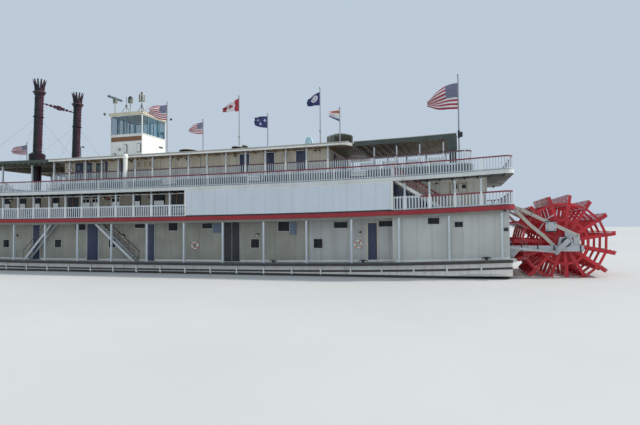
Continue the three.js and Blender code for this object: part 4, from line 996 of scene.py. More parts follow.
def make_pole(name, x, y, top):
    form = Form(pole_grey)
    stern = name == "stern"
    foot, head, wide = (TEXAS if stern else ROOF) + sheer(x), DRAFT + top, 0.07 if stern else 0.05
    middle = (foot + head) / 2
    form.tube([(x, y, foot), (x, y, middle), (x, y, head)], wide, 10, end_radius=0.6 * wide)
    form.lathe((x, y, head), [(0.0, -0.05), (0.09, -0.04), (0.09, 0.0), (0.06, 0.07), (0.0, 0.11)], 12)
    form.lathe((x, y, foot), [(0.17, 0), (0.17, 0.04), (wide + 0.03, 0.06),
               (wide + 0.03, 0.3), (wide, 0.32)], 12)
    for z in (foot + 0.9, foot + 0.9 + (head - foot) * 0.33):
        form.tube([(x + 0.1, y, z), (x - 0.02, y, z)], 0.02, 6, rope)
    form.tube([(x + 0.09, y, foot + 1.1), (x + 0.07, y, middle), (x + 0.05, y, head - 0.02)], 0.009, 5, rope)
    if name.startswith("tall"):
        hub = foot + 0.95
        form.lathe((x, y, hub - 0.2), [(0.1, 0), (0.14, 0.08), (0.14, 0.26), (0.09, 0.36)], 12)
        form.lathe((x, y, foot + 2.15), [(0.06, 0), (0.1, 0.04), (0.1, 0.2), (0.06, 0.24)], 12)
        for dx, dy in ((0.55, 0), (-0.55, 0), (0, 0.5), (0, -0.5)):
            form.tube([(x, y, hub), (x + dx, y + dy, foot + 0.02)], 0.035, 6)
            form.lathe((x + dx, y + dy, foot), [(0.09, 0), (0.09, 0.03), (0.04, 0.05)], 8)
    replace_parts(form.make(f"flag_pole_{name}", "white_paint"), f"flag_{name}")


def make_flags():
    for number, row in enumerate(FLAGS):
        make_pole(*row[:4])
        make_flag(number, *row)


# Chimneys
CHIMNEY_X, CHIMNEY_Y, CHIMNEY_RAKE = -49.6, 2.88, 0.034
DRUM_TOP = DRAFT + 12.62
CHIMNEY_BANDS = (  # height above the water, radius, height, how far it stands out, paint
    *((z, 0.45, 0.07, 0.022, black) for z in (13.6, 14.85, 16.1, 17.6, 18.85)),
    (16.8, 0.5, 0.09, 0.05, black), (19.56, 0.63, 0.1, 0.05, chimney_ring), (19.3, 0.47, 0.12, 0.05, black))


def on_chimney(z, y):
    return CHIMNEY_X + CHIMNEY_RAKE * max(0.0, z - DRUM_TOP), y, z


def make_chimney_trim():
    form = Form(black)
    lean = (CHIMNEY_RAKE, 0, 1)
    for side in PAIR:
        y = side * CHIMNEY_Y
        for z, radius, tall, proud, kind in CHIMNEY_BANDS:
            inner, outer = radius - 0.02, radius + proud
            form.lathe(on_chimney(DRAFT + z, y),
                       [(inner, 0), (outer, 0.01), (outer, tall), (inner, tall + 0.01)],
                       40, kind, lean)
        form.lathe(on_chimney(DRAFT + 19.55, y),
                   [(0.5, 0), (0.5, 0.5), (0.44, 0.5), (0.44, 0.12), (0.0, 0.1)],
                   40, axis=lean)
        for z in (11.6, 12.0, 12.45):
            form.lathe((CHIMNEY_X, y, DRAFT + z), [(0.8, 0), (0.86, 0.01), (0.86, 0.06), (0.8, 0.07)], 40)
        for t in turns(20):
            form.lathe((CHIMNEY_X + 0.82 * math.cos(t), y + 0.82 * math.sin(t), DRAFT + 12.25),
                       [(0.035, 0), (0.03, 0.03), (0.0, 0.04)], 6, axis=(math.cos(t), math.sin(t), 0))
        for k in range(17):
            x, _, z = on_chimney(DRAFT + 12.95 + 0.38 * k, y)
            form.tube([(x + dx, y + dy, z) for dx, dy in
                      ((0.44, -0.15), (0.57, -0.15), (0.57, 0.15), (0.44, 0.15))],
                      0.016, 5)
        for px, py in ((-55.4, 5.2), (-46.2, 5.2), (-55.4, 0.3), (-46.2, 0.3)):
            form.tube([on_chimney(DRAFT + 16.95, y), (px, side * py, ROOF + sheer(px))], 0.007, 5, dark)
    form.make("chimney_bands", "chimney_black")

    form = Form(dark)
    x, y, foot = -48.08, 2.0, ROOF + sheer(-48.08)
    form.tube([(x, y, foot), (x, y, DRAFT + 14.05),
               (x + 0.08, y, DRAFT + 14.17), (x + 0.36, y, DRAFT + 14.17)], 0.045)
    form.lathe((x + 0.4, y, DRAFT + 14.02), [(0.12, 0), (0.12, 0.04), (0.07, 0.14), (0.03, 0.17)], 12)
    form.lathe((x, y, foot), [(0.13, 0), (0.13, 0.04), (0.06, 0.06)], 10)
    form.make("roof_lamp_posts", "canopy_green")


# Pilothouse
FORE, AFT, HALF, FLOOR, SILL, HEAD, TOP, BARS, BAYS = (
    PILOT[key] for key in ("fore", "aft", "half", "floor", "sill", "head", "top", "bars", "bays"))
PANE_LONG, PANE_WIDE = (AFT - FORE - (BAYS + 1) * BARS) / BAYS, (2 * HALF - (BAYS + 1) * BARS) / BAYS


def glaze_pilothouse(trim):
    """Panes on the four sides, and the thin frames round them. The door's bay has a light over the door."""
    panes = Form(clear_pane)
    for i in range(BAYS):
        x0 = FORE + BARS + i * (PANE_LONG + BARS)
        y0 = -HALF + BARS + i * (PANE_WIDE + BARS)
        x1, y1 = x0 + PANE_LONG, y0 + PANE_WIDE
        for side in PAIR:
            low = FLOOR + 2.15 if side > 0 and i == BAYS - 1 else SILL
            face = side * (HALF - 0.045)
            panes.block(x0, x1, face - 0.008, face + 0.008, low, HEAD)
            for a, b, c, d in inner_bars(x0, x1, low, HEAD):
                trim.block(a, b, face - 0.03, face + 0.03, c, d, window_blue)
        for x in (FORE + 0.045, AFT - 0.045):
            panes.bar(x, 0.008, y0, y1, SILL, HEAD)
            for a, b, c, d in inner_bars(y0, y1, SILL, HEAD):
                trim.bar(x, 0.03, a, b, c, d, window_blue)
    panes.make("pilothouse_glass", "white_paint")


def trim_pilothouse_walls(trim):
    sill, foot = (SILL - 0.09, SILL - 0.02), (ROOF + sheer(FORE) + 0.02, ROOF + sheer(FORE) + 0.2)
    for side, end in zip(PAIR, (AFT, AFT - BARS - PANE_LONG - 0.03)):
        face = side * HALF
        trim.block(FORE - 0.03, end, face, face + side * 0.05, *sill)
        trim.block(FORE, end, face, face + side * 0.03, *foot)
    for x, out in ((FORE, -1), (AFT, 1)):
        trim.block(x, x + out * 0.05, -HALF - 0.03, HALF + 0.03, *sill)
        trim.block(x, x + out * 0.03, -HALF, HALF, *foot)
    trim.block(FORE + 0.12, AFT - 0.08, -HALF, -HALF - 0.05, DRAFT + 13.62, DRAFT + 14.1, brown)
    for x, wide, low, high in ((-39.98, 0.16, 12.05, 12.35), (-38.55, 0.18, 12.3, 13.25),
                               (-36.9, 0.22, 12.35, 13.3), (-39.35, 0.12, 12.65, 12.9)):
        low, high = DRAFT + low, DRAFT + high
        trim.bar(x, wide, -HALF, -HALF - 0.09, low, high, dark)
        trim.bar(x, wide - 0.04, -HALF, -HALF - 0.11, low + 0.05, high - 0.05)
    trim.block(AFT, AFT + 0.08, 0.9, 1.6, DRAFT + 13.3, DRAFT + 13.42, dark)


def trim_pilothouse_roof(trim):
    """Roof edges, horns, antennas, beacons, whistles and the masts' feet."""
    for z0, z1, out in ((PILOT["eave"] + 0.01, PILOT["eave"] + 0.08, 0.1), (TOP - 0.05, TOP + 0.02, 0.12)):
        x0, x1, y = FORE - out, AFT + out, HALF + out
        for span in ((x0, x1, -y, -y + 0.08), (x0, x1, y - 0.08, y),
                     (x0, x0 + 0.08, -y, y), (x1 - 0.08, x1, -y, y)):
            trim.block(*span, z0, z1, cream_trim)
    z = DRAFT + 16.62
    for x, y, out in ((FORE - 0.06, -HALF - 0.06, -1), (AFT + 0.06, HALF + 0.06, 1)):
        tip = x + out * 0.62
        trim.tube([(x, y, z), (tip, y, z + 0.02)], 0.035, 6)
        trim.lathe((tip, y, z - 0.04),
                   [(0.05, 0), (0.11, 0.05), (0.13, 0.22), (0.12, 0.24), (0.0, 0.2)], 14, dark,
                   (out * 0.3, 0, 1))
    for x, y, tall in ((-36.9, -1.2, 19.2), (-37.3, 1.5, 18.6)):
        trim.tube([(x, y, TOP), (x, y, DRAFT + tall)], 0.016, 6, end_radius=0.006)
    for x, y, radius, z in ((-40.35, -1.6, 0.12, 17.93), (-39.59, 0, 0.1, 18.3), (-38.12, 0, 0.12, 18.36)):
        trim.lathe((x, y, DRAFT + z), [(0.05, -0.1), (radius, -0.02), (radius, 0.03), (0.05, 0.08)], 14)
    trim.lathe((-39.59, 0, DRAFT + 18.74), [(0.28, 0), (0.28, 0.05),
               (0.2, 0.28), (0.06, 0.4), (0.0, 0.41)], 20, dark)
    for x, radius, low, high in ((-38.12, 0.11, 18.5, 19.49),
                                 (-38.41, 0.07, 18.5, 19.23), (-37.78, 0.07, 18.5, 19.11)):
        for share in (0.15, 0.55, 0.97):
            trim.lathe((x, 0, DRAFT + low + (high - low) * share),
                       [(radius, -0.03), (radius + 0.02, -0.02), (radius + 0.02, 0.02), (radius, 0.03)],
                       16, brass)
    for x, y, low, foot in ((-39.21, -1.2, 17.71, 0.9), (-38.12, 0, 17.91, 1.05)):
        trim.lathe((x, y, DRAFT + low - 0.1), [(0.05, 0), (0.1, 0.03), (0.1, 0.2), (0.05, 0.24)], 12, bronze)
        for t in turns(3):
            trim.lathe((x + foot * 0.62 * math.cos(t), y + foot * 0.62 * math.sin(t), TOP),
                       [(0.09, 0), (0.09, 0.03), (0.04, 0.05)], 8, bronze)


def furnish_pilothouse():
    form = Form(brown)
    hub = (-39.25, 0, FLOOR + 0.75)
    form.ring(hub, 0.85, 0.045, (1, 0, 0), 40)
    form.ring(hub, 0.3, 0.04, (1, 0, 0))
    for t in turns(10):
        tip = (hub[0], 1.08 * math.cos(t), hub[2] + 1.08 * math.sin(t))
        if tip[2] > FLOOR + 0.05:
            form.tube([hub, tip], 0.026, 6)
    for x0, x1, y0, y1, z0, z1, kind in (
            (-39.4, -39.1, -0.12, 0.12, 0, 0.75, white), (-40.3, -39.95, -1.8, 1.8, 0, 0.95, white),
            (-40.2, -39.98, -1.5, -0.5, 0.95, 1.15, dark), (-40.2, -39.98, 0.5, 1.5, 0.95, 1.15, dark),
            (-37.1, -36.7, -1.8, 0.6, 0.35, 0.45, brown), (-38.3, -37.9, -0.25, 0.25, 0.6, 0.7, navy),
            (-37.98, -37.9, -0.25, 0.25, 0.7, 1.3, navy)):
        form.block(x0, x1, y0, y1, FLOOR + z0, FLOOR + z1, kind)
    for y in (-1.7, -0.6, 0.5):
        form.block(-37.05, -36.75, y - 0.05, y + 0.05, FLOOR, FLOOR + 0.36)
    form.tube([(-38.1, 0, FLOOR), (-38.1, 0, FLOOR + 0.62)], 0.05, 8, dark)
    form.block(-40.35, -36.66, -2.0, 2.0, HEAD - 0.01, HEAD + 0.03, cream_trim)
    form.make("pilothouse_wheel_and_console", "white_paint", bevel=0.01)


def make_pilothouse_trim():
    trim = Form(white)
    glaze_pilothouse(trim)
    trim_pilothouse_walls(trim)
    trim_pilothouse_roof(trim)
    trim.make("pilothouse_trim", "white_paint")
    furnish_pilothouse()

    form = Form(dark)
    form.block(-37.5 + 0.09, -36.68 - 0.09, HALF - 0.035, HALF - 0.02, SILL + 0.01, FLOOR + 1.84, clear_pane)
    form.tube([(-36.8, HALF - 0.01, FLOOR + 1.0), (-36.8, HALF + 0.06, FLOOR + 1.0),
               (-36.93, HALF + 0.06, FLOOR + 1.0)], 0.014, 6)
    form.make("pilothouse_door_glass", "white_paint", "pilothouse_door")

    form = Form(radar_yellow)
    form.block(-40.5, -40.2, -1.75, -1.45, DRAFT + 17.97, DRAFT + 18.38)
    form.make("radar_drive_cover", "white_paint", bevel=0.03)

    form = Form(dark)
    x0, x1, y0, y1 = -40.47, -40.23, -1.6 - 1.07, -1.6 + 1.07
    form.block(x0, x0 + 0.03, y0, y1, DRAFT + 18.44, DRAFT + 18.6)
    for end in (y0, y1 - 0.02):
        form.block(x0, x1, end, end + 0.02, DRAFT + 18.42, DRAFT + 18.62)
    form.lathe((-40.35, -1.6, DRAFT + 18.61), [(0.1, 0), (0.1, 0.05), (0.05, 0.07)], 14, radar_grey)
    form.make("radar_aerial_face", "white_paint", "radar_scanner", bevel=0.01)


# Paddle wheel and its braces
WHEEL_X, WHEEL_Z, WHEEL_R, WHEEL_HALF = 3.87, DRAFT + 2.82, 3.82, 3.81
WHEEL_PHASE, PADDLES = -8, 15
WHEEL_ANGLES = [90 + WHEEL_PHASE + i * 360 / PADDLES for i in range(PADDLES)]
FRAME_YS = [(WHEEL_HALF - 0.14) * (-1 + 2 * f / 4) for f in range(5)]


def wheel_point(angle, r, t, y):
    """A place on the wheel: r out from the axis at an angle in degrees, t across the arm."""
    a = math.radians(angle)
    return (WHEEL_X + r * math.cos(a) - t * math.sin(a), y, WHEEL_Z + r * math.sin(a) + t * math.cos(a))


def wheel_block(form, angle, r0, r1, t0, t1, y0, y1):
    low, high = ([wheel_point(angle, r, t, y) for r, t in ((r0, t0), (r1, t0), (r1, t1), (r0, t1))]
                 for y in (y0, y1))
    form.hexa(low, high)


def make_wheel_planks():
    planks, form = Form(bucket_red_faded_and_sunlit), Form(wheel_dark)
    for angle in WHEEL_ANGLES:
        a = math.radians(angle)
        for k in range(3):
            r0 = WHEEL_R - 0.92 + k * 0.307
            lean = random.uniform(-0.008, 0.008)
            wheel_block(planks, angle, r0 + 0.004, min(r0 + 0.296, WHEEL_R + 0.005), 0.1, 0.19 + lean,
                        -WHEEL_HALF - 0.01 + random.uniform(0, 0.02), WHEEL_HALF + 0.01)
        for y in FRAME_YS:
            for r in (WHEEL_R - 0.78, WHEEL_R - 0.46, WHEEL_R - 0.16):
                form.lathe(wheel_point(angle, r, 0.19, y), [(0.045, 0), (0.045, 0.025), (0.02, 0.04),
                           (0.0, 0.04)],
                           6, axis=(-math.sin(a), 0, math.cos(a)))
            wheel_block(form, angle, WHEEL_R - 0.8, WHEEL_R - 0.12, -0.135, -0.118, y - 0.05, y + 0.05)
    for y in FRAME_YS:
        for edge in PAIR:
            if abs(y) < 3 and edge * y > 0:
                continue
            face = y + edge * 0.07
            for angle in WHEEL_ANGLES:
                for r, t in ((3.07, 0.05), (3.17, -0.05), (1.75, 0.05),
                             (1.85, -0.05), (0.85, 0.0), (1.05, 0.0)):
                    form.lathe(wheel_point(angle, r, t, face), [(0.032, 0), (0.032, 0.02), (0.0, 0.03)], 6,
                               axis=(0, edge, 0))
            form.lathe((WHEEL_X, face, WHEEL_Z), [(0.7, 0), (0.7, 0.03), (0.55, 0.05),
                       (0.3, 0.06), (0.26, 0.06)],
                       30, wheel_red, (0, edge, 0))
        form.lathe((WHEEL_X, y - 0.2, WHEEL_Z), [(0.22, 0), (0.3, 0.02), (0.3, 0.38),
                   (0.22, 0.4)], 24, wheel_red,
                   (0, 1, 0))
    for angle in WHEEL_ANGLES[::3]:
        for y0, y1 in zip(FRAME_YS, FRAME_YS[1:]):
            for r0, r1 in ((0.9, 2.95), (2.95, 0.9)):
                form.tube([wheel_point(angle, r0, 0, y0), wheel_point(angle, r1, 0, y1)], 0.022, 6, wheel_red)
    planks.make("wheel_bucket_planks", "wheel_red", "paddle_wheel", bevel=0.012)
    form.make("wheel_bolts_and_hubs", "wheel_red", "paddle_wheel")


BRACES = (  # x and height above the water along the middle of each brace
    ((0.08, 5.66), (0.55, 5.52), (2.45, 4.52), (4.86, 3.29)),
    ((0.1, 5.5), (0.49, 5.1), (1.26, 4.25), (2.31, 3.3), (3.05, 2.5)))


def make_brace_details():
    form = Form(brace_paint)
    for side in PAIR:
        y, axis = side * 4.325, (0, side, 0)
        for (x0, z0), (x1, z1) in (((2.53, 4.65), (3.11, 5.0)), ((1.98, 3.82), (2.33, 4.34))):
            form.tube([(x0, side * 4.15, DRAFT + z0), (x1, side * 4.15, DRAFT + z1)], 0.04, 8, timber)
        for line in BRACES:
            for (x0, z0), (x1, z1) in zip(line, line[1:]):
                across = Vector((x1 - x0, z1 - z0)).normalized()
                nx, nz = -across.y * 0.13, across.x * 0.13
                for s in PAIR:
                    ya, yb = y + s * 0.1, y + s * 0.135
                    form.hexa(*([(x + e * nx, w, DRAFT + z + e * nz)
                                 for x, z, w in ((x0, z0, ya), (x1, z1, ya), (x1, z1, yb), (x0, z0, yb))]
                                for e in PAIR))
        for x0, x1, out0, out1, z0, z1, kind in ((2.43, 3.2, 0.12, 0.19, 3.72, 4.44, timber),
                                                 (2.4, 3.23, 0.1, 0.21, 4.42, 4.49, dark),
                                                 (2.4, 3.23, 0.1, 0.2, 3.62, 3.73, dark)):
            form.block(x0, x1, y + side * out0, y + side * out1, DRAFT + z0, DRAFT + z1, kind)
        for x, z in ((2.55, 3.85), (3.08, 3.85), (2.55, 4.3), (3.08, 4.3),
                     (0.6, 5.48), (1.4, 5.08), (4.7, 3.35)):
            form.lathe((x, y + side * (0.18 if 2 < x < 4 else 0.12), DRAFT + z),
                       [(0.05, 0), (0.05, 0.04), (0.0, 0.06)],
                       6, dark, axis)
        for place, profile in ((4.02, [(0.3, 0), (0.44, 0.02), (0.44, 0.1), (0.3, 0.12)]),
                               (4.56, [(0.3, 0), (0.36, 0.01), (0.36, 0.06), (0.26, 0.08)])):
            form.lathe((WHEEL_X, side * place, WHEEL_Z), profile, 28, dark, axis)
        for dx in (-0.525, 0.525):
            form.lathe((WHEEL_X + dx, y, DRAFT + 2.55), [(0.06, 0), (0.06, 0.1), (0.0, 0.12)], 6, dark)
        for x in (-1.2, 0.6, 1.8, 3.0, 4.9):
            form.bar(x, 0.05, side * 4.08, side * 4.57, DRAFT + 2.08, DRAFT + 2.57, dark)
    form.make("brace_straps", "timber_grey")


# Stairs, canopies and roofs
def make_stair_rails():
    form = Form(white)
    top_x, low_x, fore, aft = -9.45, -5.5, -9.42, -6.1
    low, high = BOILER + sheer(low_x), HURRICANE + sheer(top_x)

    def on_stair(x, up):
        return low + (x - low_x) * (high - low) / (top_x - low_x) + up

    for side in PAIR:
        for y in (side * 5.75, side * 6.57):
            form.tube([(top_x - 0.1, y, high + 1.05), (top_x + 0.1, y, on_stair(top_x + 0.1, 1.0)),
                       (low_x + 0.1, y, on_stair(low_x + 0.1, 1.0)), (low_x + 0.35, y, low + 0.98)],
                      0.045, 8, rail_red)
            form.tube([(x, y, on_stair(x, 0.5)) for x in (top_x, low_x)], 0.025, 6, rail_red)
            for x in steps(top_x + 0.15, low_x, 0.24):
                form.bar(x, 0.025, y - 0.02, y + 0.02, on_stair(x, 0), on_stair(x, 0.99), stair_pink)
            for x in (top_x, low_x + 0.12):
                form.bar(x, 0.06, y - 0.06, y + 0.06, on_stair(x, -0.05), on_stair(x, 1.12))
        # a navy panel under the stair: a dark sheet standing for the shade under the flight
        form.add([(x, y, z) for y in sorted((side * 5.66, side * 5.7)) for x, z in (
            (fore, BOILER + sheer(fore)), (aft, BOILER + sheer(aft)), (fore, on_stair(fore, -0.4)))],
                 [(0, 1, 2), (5, 4, 3), (0, 3, 4, 1), (1, 4, 5, 2), (2, 5, 3, 0)], navy)
        form.block(-9.5, -7.4, side * 5.62 - 0.02, side * 5.62 + 0.02, BOILER + 2.44, BOILER + 2.6, lift=True)
    form.make("stair_handrails", "white_paint")


def make_canopy_details():
    form = Form(canopy)
    low, top = DRAFT + 11.26, DRAFT + 11.62
    for side in PAIR:
        y = side * 4.43
        form.run(-13.1, -4.3, y, y + side * 0.03, low - 0.02, top + 0.02)
        # a pale strip on the canopy's top edge: a zinc edge, and a painted highlight along it
        form.run(-13.1, -4.3, y - side * 0.02, y + side * 0.05, top, top + 0.05, roof_edge)
        form.block(-5.08, -4.32, y - side * 0.03, y + side * 0.02, DRAFT + 10.2, low + 0.05, lift=True)
        for x in (-13.009, -11.305, -9.332, -7.359, -5.386):
            form.bar(x, 0.06, side * 4.24, side * 4.36, TEXAS, TEXAS + 0.1, white, True)
    for x in steps(-12.9, -4.3, 0.66):
        form.bar(x, 0.05, -4.3, 4.3, low + 0.06, low + 0.2, brown, True)
    for y in steps(-4.25, 4.3, 0.24):
        form.run(-13.0, -4.4, y, y + 0.2, low + 0.22, low + 0.25, board_brown)
    form.block(-4.08, -3.8, -0.18, 0.18, DRAFT + 12.43, DRAFT + 12.88, dark)
    form.block(-3.82, -3.76, -0.14, 0.14, DRAFT + 12.48, DRAFT + 12.83, green)
    form.tube([(-4.1, 0, DRAFT + 12.35), (-4.1, 0, DRAFT + 13.05)], 0.1, 10, dark)
    form.make("aft_canopy_boards", "canopy_green")

    form = Form(canopy)
    under = ROOF - ROOF_THICK
    rail_bar(form, edge_path(-57.5, 1.6, -45.2, 5.77, 0.02, 0.0), ROOF, -0.3, 0.02, 0.06)
    for k in range(16):
        for y0, y1 in ((-5.6, -3.5), (-2.2, 2.2), (3.5, 5.6)):
            form.bar(-56.4 + 0.7 * k, 0.04, y0, y1, under - 0.12, under, board_brown, True)
    for side in PAIR:
        form.run(-56.4, -45.3, side * 5.28, side * 5.4, under - 0.18, under, green)
        for x in (-55.6, -51.654, -47.708):
            z = under + sheer(x)
            for dx in (-0.4, 0.4):
                form.tube([(x, side * 5.34, z - 0.6), (x + dx, side * 5.34, z - 0.02)], 0.03, 6, green)
    form.make("fore_canopy_boards", "canopy_green")


def make_roof_details():
    form = Form(white)
    for side in PAIR:
        form.lathe((-35.3, side * 6.45, HURRICANE + sheer(-35.3)), [
            (0.26, 0), (0.26, 0.1), (0.2, 0.12), (0.2, 3.0), (0.25, 3.02),
            (0.25, 3.2), (0.22, 3.36), (0.13, 3.48),
            (0.0, 3.52)])
        y = side * 5.77
        form.run(-45.16, -13.3, y - side * 0.03, y + side * 0.03, ROOF - ROOF_THICK + 0.02, ROOF - 0.1)
        form.run(-45.16, -13.3, y - side * 0.05, y + side * 0.05, ROOF - 0.07, ROOF + 0.03, roof_edge)
    for x in (-42.5, -20.5):
        base = ROOF + sheer(x)
        form.bar(x, 0.9, -1.3, 1.3, base, base + 0.3)
        for k in range(3):
            form.block(x - 0.8 + k * 0.56, x - 0.32 + k * 0.56, -1.2, 1.2, base + 0.3, base + 0.34, pane)
    for x, y, low, tall, radius in ((-32.3, 0, 12.5, 0.3, 0.92), (-26.0, -1.2, 12.35, 0.24, 0.5),
                                    (-25.65, 0, 12.6, 0.24, 0.32)):
        rim = radius + 0.02
        form.lathe((x, y, DRAFT + low), [(radius, 0), (rim, 0.03), (rim, 0.07), (radius, 0.09)], 30, dark)
        form.lathe((x, y, DRAFT + low + 0.09),
                   [(radius + 0.01, 0), (0.6 * radius, tall * 0.3), (0.0, tall * 0.4)],
                   30, green)
    form.lathe((-18.6, 0, DRAFT + 12.45), [(0.36, 0), (0.42, 0.04), (0.42, 0.16), (0.38, 0.5), (0.27, 0.74),
                                           (0.12, 0.85), (0.0, 0.88)], 30, vent_blue)
    for k in range(18):
        tall = 0.75 + 0.25 * math.sin(math.pi * k / 17)
        for y in (-0.22, 0.22):
            form.lathe((-16.65 + k * 0.143, y, DRAFT + 12.45), [
                (0.03, 0), (0.05, 0.02), (0.05, 0.1), (0.02, 0.12), (0.05, 0.15),
                (0.05, tall - 0.05), (0.02, tall)],
                       8, bronze)
    form.block(-16.75, -14.1, -0.4, 0.4, DRAFT + 12.35, DRAFT + 12.45, bronze)
    form.run(-44.9, -13.4, -0.03, 0.03, ROOF + 0.005, ROOF + 0.03)
    form.make("roof_vents_and_hatches", "white_paint")


def make_sign_trim():
    form = Form(white)
    for side in PAIR:
        for x0, x1 in ((-28.5, -28.34), (-9.52, -9.36)):
            form.block(x0, x1, side * 6.9, side * 7.04, BOILER + 0.1, BOILER + 2.42, lift=True)
        # a dark strip along the sign's foot: painted shadow in the gap between the sign and the deck edge
        form.run(*SIGN_X, side * 6.93, side * 7.0, BOILER + 0.05, BOILER + 0.13, dark)
        form.run(*SIGN_X, side * 6.93, side * 7.01, BOILER + 2.37, BOILER + 2.44)
        for x in steps(-27.4, -10, 1.2):
            form.bar(x, 0.04, side * 6.82, side * 6.93, BOILER + 0.1, BOILER + 2.4, stage_wood, True)
    form.make("sign_board_frames", "sign_paint")


def make_salon_doors():
    """Panels, dark panes and handles on the saloon's double doors and the engine-room doors."""
    for name, side in SIDES:
        y = side * SALOON_WALL

        def knob(form, x, z):
            form.tube([(x, y, z), (x, y + side * 0.07, z)], 0.022, 8, brass)

        low = BOILER + sheer(-4.2) + 0.08
        for leaf, x0, x1, knob_x, mid in (("fore", -4.88, -4.24, -4.32, -4.46),
                                         ("aft", -4.2, -3.56, -4.12, -3.78)):
            form = Form(cream_trim)
            form.bar(mid, 0.16, y - side * 0.055, y + side * 0.008, low + 1.55, low + 1.88, dark_pane)
            for a, b, c, d in ((-0.2, 0.2, 1.88, 1.92), (-0.2, 0.2, 1.51, 1.55), (-0.2, -0.16, 1.55, 1.88),
                               (0.16, 0.2, 1.55, 1.88)):
                form.block(mid + a, mid + b, y - side * 0.01, y + side * 0.02, low + c, low + d)
            for c, d in ((0.12, 0.5), (0.6, 1.1)):
                form.block(x0 + 0.1, x1 - 0.1, y - side * 0.01, y + side * 0.014, low + c, low + d)
            knob(form, knob_x, low + 0.95)
            form.make(f"salon_door_panels_{leaf}_{name}", "door_navy", f"salon_door_{leaf}_{name}")
        form = Form(navy)
        low = MAIN + sheer(-11.4) + 0.08
        for c, d in ((0.1, 1.0), (1.15, 2.05), (2.2, 3.05)):
            form.block(-11.65, -11.08, y - side * 0.01, y + side * 0.016, low + c, low + d)
        knob(form, -11.08, low + 1.08)
        form.make(f"engine_door_panels_{name}", "door_navy", f"engine_room_door_{name}")
        form = Form(cream_trim)
        for x0, x1, low, tall in ((-4.9, -3.54, BOILER, 2.05), (-11.75, -10.98, MAIN, 3.3)):
            for a, b, foot in ((x0 - 0.09, x0 - 0.005, 0), (x1 + 0.005, x1 + 0.09, 0), (x0, x1, tall + 0.01)):
                form.plate(a, b, y, side * 0.045, low + foot, low + tall + 0.1)
        form.plate(-4.9, -3.54, y, side * 0.03, BOILER + 2.16, BOILER + 2.36)
        form.make(f"door_frames_{name}", "wall_paint")


def make_baskets():
    form = Form(basket_red)
    for side in PAIR:
        for x in (-37.2, -32.4):
            y, z = side * 6.6, BOILER + 2.1 + sheer(x)
            form.tube([(x, y, z + 0.4), (x, y, z - 0.1)], 0.012, 5, dark)
            form.lathe((x, y, z - 0.36), [(0.05, 0), (0.17, 0.05), (0.22, 0.17), (0.23, 0.2), (0.0, 0.2)],
                       14, dark)
            for _ in range(46):
                t, r = random.uniform(0, 2 * math.pi), random.uniform(0, 0.26)
                drop = random.uniform(-0.22, 0.06) if r > 0.19 else random.uniform(0, 0.12)
                place = (x + r * math.cos(t), y + r * math.sin(t), z - 0.16 + drop)
                size = random.uniform(0.035, 0.06)
                form.lathe(place, [(0.0, -size), (size, 0), (0.0, size)], 5,
                           random.choice((basket_red, basket_red, leaf_green)),
                           (random.uniform(-1, 1), random.uniform(-1, 1), 1))
    form.make("hanging_baskets", "red_trim")


def flight(form, low_x, high_x, y0, y1):
    """A flight from the main deck to the deck above, with stringers, treads and handrails."""
    low, high, treads = MAIN + sheer(low_x), BOILER - BOILER_THICK + sheer(high_x), 18
    for y in (y0, y1):
        a = [(low_x, y - 0.03, low), (low_x + math.copysign(0.3, high_x - low_x), y - 0.03, low),
             (high_x, y - 0.03, high - 0.3), (high_x, y - 0.03, high)]
        form.hexa(a, [(x, y + 0.03, z) for x, y, z in a])
        form.tube([(low_x, y, low + 0.95),
                   (high_x + (low_x - high_x) * 0.22, y, high + (low - high) * 0.22 + 0.75)],
                  0.03, 6, rail_dark)
        for share in (0.02, 0.28, 0.52, 0.76):
            x, z = low_x + (high_x - low_x) * share, low + (high - low) * share
            form.tube([(x, y, z), (x, y, z + (0.93 if share < 0.6 else 0.78))], 0.02, 6, rail_dark)
    for k in range(1, treads):
        x, z = low_x + (high_x - low_x) * k / treads, low + (high - low) * k / treads
        form.bar(x, 0.13, y0, y1, z - 0.03, z + 0.01, deck)


def make_main_stairs():
    form = Form(post_white_shaded)
    for side in PAIR:
        for low_x, high_x in ((-47.9, -44.3), (-34.4, -39.0)):
            flight(form, low_x, high_x, side * 5.5, side * 6.2)
    form.make("main_deck_stairs", "white_paint")


# Decks
def deck_half(x):
    """Half the main deck's width, which narrows towards the bow."""
    return HALF_BEAM * (1 - max(0.0, (-54 - x) / 19.1) ** 2)


def bitts(form, x, y):
    z = MAIN + sheer(x)
    for dx in (-0.3, 0.3):
        form.lathe((x + dx, y, z), [(0.13, 0), (0.1, 0.04), (0.1, 0.5), (0.14, 0.52), (0.14, 0.6),
                   (0.0, 0.63)], 16)
    form.bar(x, 0.48, y - 0.17, y + 0.17, z, z + 0.05)
    form.tube([(x - 0.45, y, z + 0.32), (x + 0.45, y, z + 0.32)], 0.05)


def make_bell(form, x):
    z = HURRICANE + sheer(x)
    for y in (-0.4, 0.4):
        form.tube([(x, y, z), (x, y, z + 1.35), (x, y * 0.6, z + 1.6)], 0.05)
    form.tube([(x, -0.26, z + 1.6), (x, 0.26, z + 1.6)], 0.05)
    form.lathe((x, 0, z + 0.92), [(0.33, 0), (0.3, 0.05), (0.22, 0.22), (0.2, 0.42), (0.14, 0.55),
                                  (0.05, 0.6),
                                  (0.05, 0.68), (0.0, 0.68)], 32, brass)
    form.lathe((x, 0, z + 0.86), [(0.0, 0), (0.06, 0.02), (0.06, 0.1), (0.0, 0.12)], 10)


